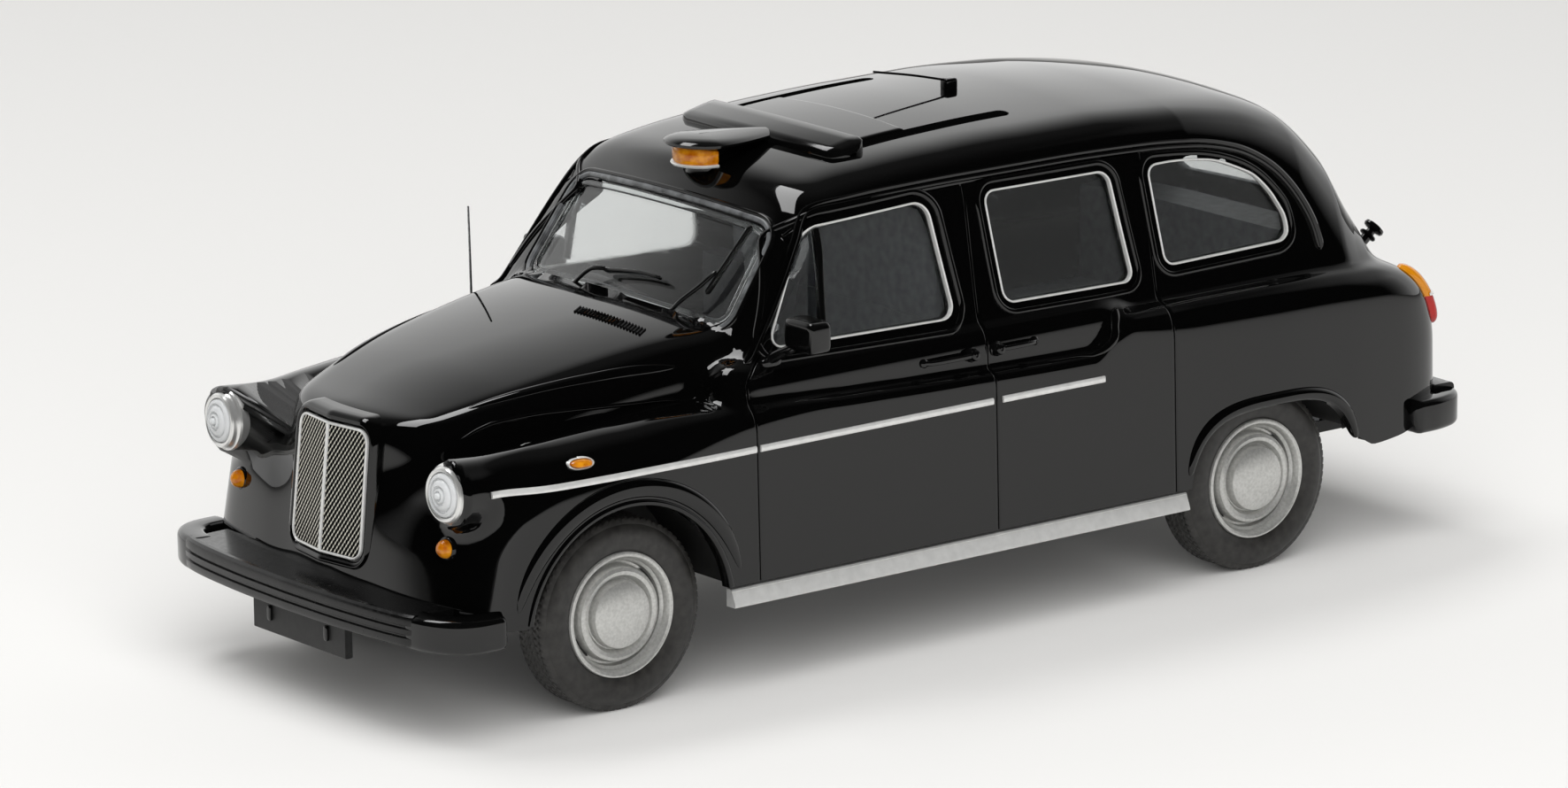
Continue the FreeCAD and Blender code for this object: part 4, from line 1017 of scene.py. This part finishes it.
cap = []
for size, lift in ((0.02, 0.62), (0.3, 0.6), (0.6, 0.52), (0.82, 0.38), (0.94, 0.22), (1.0, 0.1),
                   (1.0, -0.1), (0.96, -0.2), (0.86, -0.22), (0.5, -0.22), (0.02, -0.22)):
    x, y = plan(size, 1 - 0.9 * (1 - size))
    cap.append(xyz(x, y, 39.95 + lift + 0.035 * (x - bow)))
keel = []
for size, length, drop in ((0.86, 0.97, 0.1), (0.72, 0.88, 0.5), (0.56, 0.74, 1.0), (0.5, 0.66, 1.6),
                           (0.55, 0.68, 2.4)):
    x, y = plan(size, length)
    z = 39.75 - drop + 0.035 * (x - bow) * (drop < 1)
    keel.append(xyz(x - 0.5 * (np.cos(t) > 0), y, z))
piece("roof_sign_cap", [grid_part(cap, wrap=True), grid_part(keel, wrap=True, caps=True)],
      "gloss_black", "roof_sign_housing")


def sign_band(name, rows, *more):
    """A curved band under the cap's bow, by radius and height."""
    angle = np.linspace(-1.5, 1.5, 40)
    r, z = (v[:, None] for v in np.array(rows).T)
    grid = xyz(nose(-20.9) + r * np.cos(angle), SIGN_Y + r * np.sin(angle), z)
    piece(name, [grid_part(grid, facing=(1, 0, 0))], *more)


sign_band("roof_sign_lens_blank", [(1.9, 39.65), (2.3, 39.6), (2.42, 39.35), (2.42, 38.6), (2.32, 38.3),
                                   (1.9, 38.25)], "lamp_amber", "roof_sign_lens")
sign_band("roof_sign_silver_line", [(2.2, 38.34), (2.5, 38.3), (2.56, 38.2), (2.5, 38.08), (2.2, 38.04)],
          "silver_print")

# ---- wheels: tyres with a fine chevron tread, stepped silver rims with domed caps


def wheel_rings(hub_x, profile, count, tread=False):
    """A wheel's section turned about the axle. Grooves in a chevron are pressed into the tread, and
    the shoulders are scalloped in step with it."""
    profile = np.array(profile, float)
    angle = np.linspace(0, 2 * np.pi, count, endpoint=False)
    r, y = profile[:, :1], profile[:, 1:]
    if tread:
        across = np.clip((y - TYRE_MID) / 1.6, -1.25, 1.25)
        crown = np.clip((r - 7.3) / 0.25, 0, 1)
        tooth = (angle * TEETH / (2 * np.pi) + 1.6 * np.abs((across * 2) % 1 - 0.5)) % 1
        cut = np.clip(1 - np.abs(tooth - 0.5) / 0.17, 0, 1)
        rib = np.clip(1 - np.abs(((across * 2.5) % 1) - 0.5) / 0.12, 0, 1)
        r = r - 0.16 * crown * np.maximum(cut, rib)
    return xyz(hub_x + r * np.cos(angle), y, AXLE_Z + r * np.sin(angle))


TEETH = 78
R = AXLE_Z
OUT = TYRE_FACE
TYRE_MID = OUT - 1.95
TREAD_STEPS = 26
tyre = ([(RIM_R + a, OUT - b) for a, b in ((-0.15, 3.6), (0.1, 3.85), (0.9, 3.9))]
        + [(R - a, OUT - b) for a, b in ((0.9, 3.85), (0.35, 3.6), (0.1, 3.45))]
        + [(R, OUT - 3.3 + 2.7 * k / TREAD_STEPS) for k in range(TREAD_STEPS + 1)]
        + [(R - a, OUT - b) for a, b in ((0.1, 0.47), (0.28, 0.36), (0.5, 0.33), (0.62, 0.2), (1.0, 0.03),
                                         (1.5, 0))]
        + [(RIM_R + a, OUT - b) for a, b in ((0.75, 0.05), (0.3, 0.15), (0.05, 0.3), (-0.15, 0.7))])
lip = OUT - 0.12
rim = ([(RIM_R - 0.25, OUT - 3.4), (RIM_R - 0.05, OUT - 0.7)]
       + [(RIM_R - a, lip - b) for a, b in (
           (0, 0.18), (0.07, 0.03), (0.2, 0), (0.38, 0.06), (0.5, 0.22), (0.62, 0.6), (0.84, 0.8),
           (0.94, 1.25), (1.12, 1.28), (1.18, 0.75), (1.34, 0.36), (1.6, 0.24), (1.9, 0.32), (2.12, 0.6),
           (2.2, 0.72), (2.27, 0.7), (2.32, 0.2), (2.42, -0.02), (2.6, -0.1), (3.2, -0.24), (4.0, -0.34),
           (4.6, -0.38))]
       + [(0.0, lip + 0.4)])
SLOT_RING, SLOT_HALF = RIM_R - 1.04, 0.16     # the painted shade of the slots in the groove: its circle and half width


def rim_slot(hub_x, middle):
    """A flat curved lozenge in the rim's groove, round an angle: in black, it is the painted shade of one of
    the rim's slots.
    """
    a = middle + np.linspace(-0.24, 0.24, 16)
    ends = np.sqrt(np.clip(1 - np.linspace(-1, 1, 16) ** 4, 0.02, 1))
    s = np.array([-1, 0, 1])[:, None]
    r = SLOT_RING + s * SLOT_HALF * ends
    face = lip - 1.2 + 0.03 * (1 - s * s)
    return grid_part(xyz(hub_x + r * np.cos(a), face, AXLE_Z + r * np.sin(a)), facing=(0, 1, 0))


for name, hub_x in (("front", FRONT), ("rear", REAR)):
    grid = wheel_rings(hub_x, tyre, 6 * TEETH, tread=True)
    piece(name + "_tyres_treaded", both([grid_part(np.concatenate([grid, grid[:1]]), wrap=True)]),
          "tyre_rubber", name + "_tyres", body=name + "_axle", sharp=30)
    piece(name + "_rims_stepped", both([grid_part(wheel_rings(hub_x, rim, 120), wrap=True)]), "rim_silver",
          name + "_rims", body=name + "_axle", sharp=30)
    # Black lozenges in the groove are painted shade where the rim has slots; the slots themselves are not
    # cut.
    slots = [rim_slot(hub_x, np.pi * (0.3 + k / 2)) for k in range(4)]
    piece(name + "_rim_slot_painted_shade", both(slots), "chassis_black", body=name + "_axle")

# ---- front: V-shaped grille with a woven mesh, its silver frame and black surround

GRILLE = [(-4.62, 12.0), (-4.5, 22.15), (4.5, 22.15), (4.62, 12.0)]


def grille_face(y, z, ahead=0.0):
    """The grille's two planes: they meet in a shallow V on the centre line and lean back."""
    return xyz(nose(14.8 + 1.15 * (22.4 - z) / 10.5 - 0.6 * np.abs(y) / 4.5) + ahead, y, z)


WIRE_RISE = 0.09
y, z = np.linspace(-4.75, 4.75, 152)[None], np.linspace(11.9, 22.25, 170)[:, None]
up_right, up_left = (y / 0.42 - z / 0.60) % 1, (y / 0.42 + z / 0.60) % 1
over = 1 - np.abs(up_right - 0.5) * 2
under = 1 - np.abs(up_left - 0.5) * 2
crown = np.clip(np.maximum(over * (0.72 + 0.28 * under), 0.62 * under), 0, 1) ** 1.3
mesh_grid = grille_face(y, z, WIRE_RISE * crown)
keep = polygon_distance(y, z, GRILLE, 1.0) < 0.12
number = np.arange(keep.size).reshape(keep.shape)
cells = np.stack([number[:-1, :-1], number[:-1, 1:], number[1:, 1:], number[1:, :-1]], -1)
cells = cells[keep[:-1, :-1] & keep[1:, 1:]]
woven = piece("grille_woven_mesh", [(mesh_grid.reshape(-1, 3), cells, [])], "etched_steel",
      "grille_mesh", sharp=180)
place_of = np.zeros(3 * len(woven.data.vertices), np.float32)
woven.data.vertices.foreach_get("co", place_of)
place_of = place_of.astype(float).reshape(-1, 3) / MM
# The wires' height over the grille's plane, which the finish uses to paint shade between the wires.
attribute = woven.data.attributes.new("crown", "FLOAT", "POINT")
plain = grille_face(place_of[:, 1], place_of[:, 2])
height = np.clip((place_of[:, 0] - plain[:, 0]) / WIRE_RISE, 0, 1)
attribute.data.foreach_set("value", height.astype(np.float32))

grille_frame = grille_face(*even(outline_of(GRILLE, 1.0, 240), 200).T, 0.06)
spine = grille_face(0.0, np.linspace(12.0, 22.1, 30), 0.1)
leaning = (1, 0, 0.11)
piece("grille_frame_silver", [sweep_part(grille_frame, leaning, half_round(0.22, 0.14, 0.15), closed=True),
                              sweep_part(spine, leaning, half_round(0.26, 0.14, 0.15))], "silver_print")
rows = [grille_face(*even(outline_of(GRILLE, 1.0, 240, grow), 200).T, ahead) for grow, ahead in (
    (1.0, -3.6), (1.0, -0.9), (0.96, -0.35), (0.84, 0.0), (0.66, 0.16), (0.46, 0.16), (0.3, 0.04),
    (0.2, -0.2), (0.1, -0.3))]
piece("grille_surround_black", [grid_part(rows, wrap=True)], "black_enamel", "grille_surround")

# ---- lamps: plated stepped bezels, frosted lenses with rings and a boss, amber domes

LAMP = (nose(15.0), 15.38, 19.36)
AHEAD = (1.0, 0.05, 0.04)
bezel = [(1.9, -3.0), (2.2, -2.2), (2.3, -1.75), (2.4, -1.2), (2.5, -0.8), (2.44, -0.62), (2.3, -0.52),
         (2.24, -0.4), (2.2, -0.16), (2.08, -0.02), (1.94, 0.02), (1.83, -0.04), (1.76, -0.2), (1.74, -0.5)]
lens_rings = [(1.78, -0.45), (1.76, -0.16), (1.68, 0.04), (1.52, 0.16), (1.4, 0.18), (1.34, 0.04),
              (1.26, 0.04), (1.18, 0.2), (1.0, 0.32), (0.8, 0.38), (0.72, 0.22), (0.62, 0.22), (0.55, 0.4),
              (0.42, 0.46), (0.36, 0.3), (0.3, 0.3), (0.24, 0.62), (0.12, 0.7), (0.0, 0.72)]
piece("headlamp_bezels_plated", both([turned_part(LAMP, AHEAD, bezel, 72)]), "plated_plastic",
      "headlamp_bezels", sharp=30)
piece("headlamp_lenses_ringed", both([turned_part(LAMP, AHEAD, lens_rings, 72)]), "lamp_clear",
      "headlamp_lenses", sharp=30)

spot = on_end(14.13, 14.67, 1)
lean = unit(outward(spot) + [1.5, 0, 0])
dome = [(0.74, -0.3), (0.74, 0.2), (0.68, 0.46), (0.52, 0.7), (0.3, 0.84), (0.1, 0.9), (0.0, 0.91)]
collar = [(0.6, -1.0), (0.98, -0.6), (0.98, -0.1), (0.92, 0.08), (0.82, 0.15), (0.72, 0.12)]
piece("indicator_collars", both([turned_part(spot, lean, collar, 48)]), "gloss_black", "indicator_bases")
piece("front_indicator_domes", both([turned_part(spot, lean, dome, 48)]), "lamp_amber", "front_indicators")


def oval(long, tall, inset):
    """A blunt-ended oval on the wing's side by its half length and half height, set into the skin: an
    ellipse whose cosine is raised to the power 0.8."""
    t = np.linspace(0, 2 * np.pi, 48, endpoint=False)
    ahead = long * np.sign(np.cos(t)) * np.abs(np.cos(t)) ** 0.8
    return on_side(nose(4.39) + ahead, 20.85 + tall * np.sin(t), inset)


case = [oval(*row)
        for row in ((1.16, 0.43, 0.2), (1.16, 0.43, -0.1), (1.08, 0.37, -0.16), (0.98, 0.31, -0.1))]
glow_rows = [oval(*row) for row in ((0.94, 0.28, 0.0), (0.92, 0.27, -0.2), (0.78, 0.21, -0.3),
                                    (0.45, 0.12, -0.34), (0.02, 0.01, -0.35))]
piece("side_repeater_cases", both([grid_part(case, wrap=True)]), "silver_print")
piece("side_repeater_lenses", both([grid_part(glow_rows, wrap=True)]), "lamp_amber", "side_repeaters")

v, u = np.linspace(-1, 1, 40)[:, None], np.linspace(-1, 1, 22)[None]
width = 0.98 * np.sqrt(np.clip(1 - np.abs(v) ** 5, 0, 1))
base = on_end(16.35 + u * width - 0.12 * v, 20.15 + 2.72 * v, -1)
swell = 0.75 * np.sqrt(np.clip((1 - u ** 4) * (1 - v ** 6), 0, 1))
lamp_rows = base + outward(base) * (swell[..., None] - 0.1)
divider = on_end(np.linspace(15.3, 17.3, 16), 20.1, -1)
piece("tail_lamp_lenses", both([grid_part(lamp_rows, facing=(-1, 0.4, 0.1))]), "lamp_tail", "tail_lamps")
away = outward(divider)
piece("tail_lamp_dividers", both([sweep_part(divider + 0.62 * away, away, half_round(0.22, 0.14, 0.2))]),
      "silver_print")

# ---- bumpers: ribbed blades with deep flat tops, and rounded end caps

blade_x = curve_through([(0, 19.6), (5, 19.5), (10, 19.2), (14.4, 18.65), (16.5, 18.0), (20, 16.9)])
y = np.linspace(-15.6, 15.6, 80)
section = [(-0.35, 7.75), (-0.12, 7.85), (-0.02, 8.1), (-0.02, 8.5), (-0.2, 8.6), (-0.2, 8.72),
           (-0.02, 8.82), (0.0, 9.22), (-0.2, 9.32), (-0.2, 9.44), (-0.02, 9.54), (-0.02, 9.95),
           (-0.1, 10.2), (-0.32, 10.36), (-0.62, 10.38), (-0.72, 10.26), (-1.2, 10.24), (-5.4, 10.3),
           (-5.6, 10.1), (-5.6, 8.0), (-5.4, 7.75)]
rows = [xyz(nose(blade_x(np.abs(y)) + dx), y, z) for dx, z in section]
piece("front_bumper_blade", [grid_part(np.stack(rows, 1), wrap=True, caps=True)], "bumper_black",
      "front_bumper", sharp=25)


def end_cap(path, height, z, thick=2.3):
    """A rounded block carried round the corner of a bumper; its sizes shrink at both ends."""
    run = flow(from_axle([(x, y, z) for x, y in path]), 40)
    return sweep_part(run, (0, 0, 1), rounded(thick, height, 0.5, 5), scale=tapered_ends(40, 0.07))


piece("front_bumper_caps_rounded",
      both([end_cap([(17.3, 14.2), (17.1, 15.8), (16.5, 17.4), (15.5, 18.5), (14.2, 18.9), (12.1, 18.95)],
                    2.7, 8.95)]), "gloss_black", "front_bumper_caps", sharp=50)
y = np.linspace(-17.5, 17.5, 15)
run = flow(from_axle(xyz(-86.4 - 0.6 * np.cos(y / 16 * 1.2), y, 10.9)), 60)
piece("rear_bumper_blade", [sweep_part(run, (0, 0, 1), rounded(2.4, 2.9, 0.45, 5))], "bumper_black",
      "rear_bumper", sharp=50)
piece("rear_bumper_caps_rounded",
      both([end_cap([(-87.0, 13.6), (-86.95, 15.8), (-86.6, 17.4), (-85.4, 18.6), (-83.2, 19.0),
                     (-81.2, 19.0)], 2.8, 10.55)]), "gloss_black", "rear_bumper_caps", sharp=50)

low, high = (np.array(v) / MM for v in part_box("front_plate_holder"))
plate_mid = (low + high) / 2
run = xyz(high[0] - 0.5, np.linspace(low[1], high[1], 12), plate_mid[2])
plate_box = sweep_part(run, (0, 0, 1), rounded(0.7, high[2] - low[2], 0.12))
bolts = [pillow_part((high[0] - 0.1, plate_mid[1] + across, plate_mid[2] + 0.1), (0.22, 0.24, 0.62), 5, 10)
         for across in (-3.9, 3.9)]
piece("front_plate_blank", [plate_box], "chassis_black", "front_plate_holder", sharp=40)
piece("front_plate_bolts", bolts, "gloss_black")

# ---- mirrors, handles, wipers, scuttle louvres, aerials and the filler cap


def door_mirror(back, inward, down):
    """A boxy head on a short arm that rises from the waist; the three lengths set it back."""
    shift = np.array([-back, -inward, -down])
    head, bend, neck = from_axle([(-16.2, 21.1, 28.2), (-15.7, 20.0, 27.1), (-16.0, 20.8, 27.8)]) + shift
    foot = on_side(nose(-15.2) - back, 25.5)
    run = flow([foot + [0, -0.3, -0.1], foot + [-0.1, 0.4, 0.5], bend, neck], 24)
    stalk = sweep_part(run, (1, 0, 0), rounded(0.7, 0.9, 0.25), scale=np.linspace(1.25, 0.85, 24))
    return [pillow_part(head, (1.05, 1.95, 1.3), 6, 22), stalk, pillow_part(foot, (1.0, 0.45, 0.4), 3, 12)]


piece("door_mirror_left", door_mirror(0, 0, 0), "gloss_black", "mirror_left")
piece("door_mirror_right", [mirrored(p) for p in door_mirror(4.5, 1.2, 1.0)], "gloss_black", "mirror_right")

KNUCKLE = [(0.62, -0.2), (0.62, 0.22), (0.5, 0.36), (0.46, 0.72), (0.36, 0.86), (0.14, 0.9), (0.1, 0.8),
           (0.0, 0.78)]
grips = []
for knuckle, tip, z in ((-34.55, -29.8, 23.25), (-37.15, -41.2, 23.35)):
    s = np.linspace(0, 1, 30)
    run = on_side(nose(knuckle + (tip - knuckle) * s), z)
    stand = 0.62 * np.sqrt(np.clip(1 - ((s - 0.42) / 0.58) ** 4, 0, 1))
    run = run + outward(run) * stand[:, None]
    grips.append(raised(run, rounded(0.42, 0.36, 0.14)))
    hub, end = on_side(nose(knuckle), z), on_side(nose(tip), z)
    grips.append(turned_part(hub, outward(hub), KNUCKLE, 28))
    grips.append(turned_part(end, outward(end), [(0.36, -0.2), (0.36, 0.14), (0.2, 0.3), (0.0, 0.33)], 20))
piece("door_handles_moulded", both(grips), "gloss_black", "door_handles")


def wiper(arm, blade):
    """An arm and its blade over the glass: thin rods through points given across and up the screen."""
    arm, blade = np.array(arm, float), np.array(blade, float)
    parts = []
    for run, wide, tall in ((arm, 0.34, 0.3), (blade, 0.3, 0.55)):
        p = flow(np.concatenate([on_screen(run[:, 0], run[:, 1]), run[:, 2:]], 1), 40)
        up = slope_of(screen, p[:, :3], 0.05)
        parts.append(sweep_part(p[:, :3] + up * p[:, 3:], up, rounded(wide, tall, 0.1),
                                scale=tapered_ends(40, 0.05)))
    pivot = on_screen(arm[0, 0], arm[0, 1])
    boss = [(0.55, -0.6), (0.55, 0.3), (0.42, 0.6), (0.3, 0.75), (0.0, 0.8)]
    return parts + [turned_part(pivot, (0.4, 0, 1), boss, 24)]


piece("wiper_right_etched",
      wiper([(-5.6, -0.1, 0.5), (-5.1, 0.5, 0.6), (-3.0, 2.75, 0.9), (-1.6, 3.1, 0.75)],
            [(-2.2, 3.0, 0.35), (0.2, 3.4, 0.3), (2.4, 3.65, 0.3), (4.7, 3.75, 0.3)]), "gloss_black",
      "wiper_right")
piece("wiper_left_etched",
      wiper([(7.4, 0.5, 0.5), (7.7, 1.1, 0.6), (8.6, 2.4, 0.9), (9.75, 4.3, 0.8), (10.2, 5.6, 0.6)],
            [(10.1, 3.6, 0.3), (10.4, 5.7, 0.3), (10.7, 7.9, 0.3), (11.0, 10.1, 0.3)]), "gloss_black",
      "wiper_left")

SLATS = 22
slats = []
for k in range(SLATS):
    y0 = 1.7 + 7.7 * k / (SLATS - 1)
    run = on_top(nose(-8.35 - 0.03 * k + np.linspace(-0.1, 0.85, 6)), y0 + np.linspace(0, 0.5, 6))
    slats.append(raised(run, half_round(0.2, 0.16, 0.15, 5)))
piece("scuttle_louvres", slats, "gloss_black", "scuttle_vent")

foot = on_top(nose(-10.0), -15.4)
mast = flow([foot, foot + [0.0, -0.1, 5.0], foot + [0.02, -0.2, 10.0]], 16)
socket = [(0.3, -0.3), (0.3, 0.25), (0.16, 0.5), (0.0, 0.55)]
mast = sweep_part(mast, (1, 0, 0), rounded(0.22, 0.22, 0.1), scale=np.linspace(1, 0.75, 16))
piece("wing_aerial_rod", [mast, turned_part(foot, (0, 0, 1), socket, 20)], "steel_rod", "wing_aerial")

base = on_top(nose(-47.4), 0.0)
rod = flow([base + [0.2, 0, 0.7], base + [3.2, -0.65, 1.4], base + [6.7, -1.35, 2.05]], 16)
piece("roof_aerial_rod", [pillow_part(base + [-0.1, 0, 0.35], (0.6, 0.5, 0.5), 6, 12),
                          sweep_part(rod, (0, 0, 1), rounded(0.2, 0.2, 0.09))], "gloss_black",
      "roof_aerial")

cap_at = centre("fuel_cap")
cap_way = unit(outward(cap_at + [0.3, -0.2, -0.6]) + [0, 0, 0.2])
spool = [(0.45, -0.8), (0.45, 0.3), (0.72, 0.38), (0.78, 0.5), (0.72, 0.62), (0.4, 0.72), (0.38, 1.0),
         (0.86, 1.12), (0.95, 1.28), (0.9, 1.5), (0.55, 1.62), (0.0, 1.66)]
piece("filler_cap_spool", [turned_part(cap_at - cap_way * 0.7, cap_way, spool, 36)], "gloss_black",
      "fuel_cap")


# ------------------------------------------------------------------ carried-over solids

slot_of = {row["node"]: row["material_slot"] for row in frame["record"]["subparts"]}
for name, node in frame["nodes"].items():
    node.data.materials.clear()
    node.data.materials.append(FINISHES[slot_of[name]])
    node.data.polygons.foreach_set("use_smooth", np.ones(len(node.data.polygons), bool))
    node.data.set_sharp_from_angle(angle=math.radians(30))


# ------------------------------------------------------------------ floor, light and camera

floor = placed("floor", bpy.data.meshes.new("floor"))
floor.data.from_pydata([(-6, -6, 0), (6, -6, 0), (6, 6, 0), (-6, 6, 0)], [], [(0, 1, 2, 3)])
finish("paper", "paper_backdrop_matt", Base_Color="#e9e8e6", Roughness=0.9)
floor.data.materials.append(FINISHES["paper"])

AZIMUTH, ELEVATION, ROLL = math.radians(142.408), math.radians(13.976), math.radians(-0.6705)
back = np.array([math.sin(AZIMUTH) * math.cos(ELEVATION), -math.cos(AZIMUTH) * math.cos(ELEVATION),
                 math.sin(ELEVATION)])
right = unit(np.cross([0, 0, 1.0], back))
upward = np.cross(back, right)
c, s = math.cos(ROLL), math.sin(ROLL)
axes = np.stack([c * right + s * upward, -s * right + c * upward, back], 1)
lens = bpy.data.cameras.new("camera")
lens.sensor_width, lens.lens, lens.clip_start = 36.0, 186.8953, 0.01
camera = placed("camera", lens)
pose = np.eye(4)
pose[:3, :3] = axes
pose[:3, 3] = (0.39704, 0.5102, 0.17745)
camera.matrix_world = mathutils.Matrix(pose.tolist())
bpy.context.scene.camera = camera


def softbox(name, place, aim, width, height, power):
    """A plain rectangular lamp that faces a point."""
    lamp = bpy.data.lights.new(name, "AREA")
    lamp.shape, lamp.size, lamp.size_y, lamp.energy = "RECTANGLE", width, height, power
    made = placed(name, lamp)
    away = mathutils.Vector(place) - mathutils.Vector(aim)
    turn = away.to_track_quat("Z", "Y").to_matrix().to_4x4()
    made.matrix_world = mathutils.Matrix.Translation(place) @ turn
    return made


overhead = softbox("overhead_softbox", (0.16, 0.26, 0.62), (0, 0.02, 0), 0.8, 0.7, 4.1)
overhead.visible_glossy = False
fill = softbox("camera_side_fill", (0.55, 1.0, 0.45), (0, 0, 0), 1.2, 0.7, 9.0)
fill.visible_glossy = False

softbox("far_high_softbox", (0.12, -0.45, 0.9), (0, 0, 0.02), 0.66, 0.26, 3.2)

world = bpy.data.worlds.new("studio")
bpy.context.scene.world = world
world.use_nodes = True
tree = world.node_tree
tree.nodes.clear()
way = add(tree, "ShaderNodeTexCoord").outputs["Generated"]
height = add(tree, "ShaderNodeSeparateXYZ", {"Vector": way}).outputs[2]
far_side = add(tree, "ShaderNodeVectorMath", {0: way, 1: (-0.61, -0.79, 0)}, operation="DOT_PRODUCT")
round_about = add(tree, "ShaderNodeValToRGB", {"Fac": far_side.outputs["Value"]},
                  stops=[(0.05, 0.0), (0.45, 1.0)])
low_down = add(tree, "ShaderNodeValToRGB", {"Fac": height}, stops=[(0.45, 1.0), (0.75, 0.06)])
glow = add(tree, "ShaderNodeMath", {0: round_about.outputs[0], 1: low_down.outputs[0]}, operation="MULTIPLY")
rays = add(tree, "ShaderNodeLightPath").outputs
seen = add(tree, "ShaderNodeMath", {0: rays["Is Camera Ray"], 1: rays["Is Transmission Ray"]},
           operation="MAXIMUM")
bright = add(tree, "ShaderNodeMath", {0: glow.outputs[0], 1: 1.5}, operation="MULTIPLY")
unseen = add(tree, "ShaderNodeMath", {0: 1.0, 1: seen.outputs[0]}, operation="SUBTRACT")
lit = add(tree, "ShaderNodeMath", {0: bright.outputs[0], 1: unseen.outputs[0]}, operation="MULTIPLY")
amount = add(tree, "ShaderNodeMath", {0: seen.outputs[0], 1: lit.outputs[0]}, operation="ADD")
light = add(tree, "ShaderNodeBackground", {"Color": tone("#e4e4e3"), "Strength": amount.outputs[0]})
add(tree, "ShaderNodeOutputWorld", {"Surface": light.outputs[0]})
bpy.context.scene.view_settings.view_transform = "Standard"
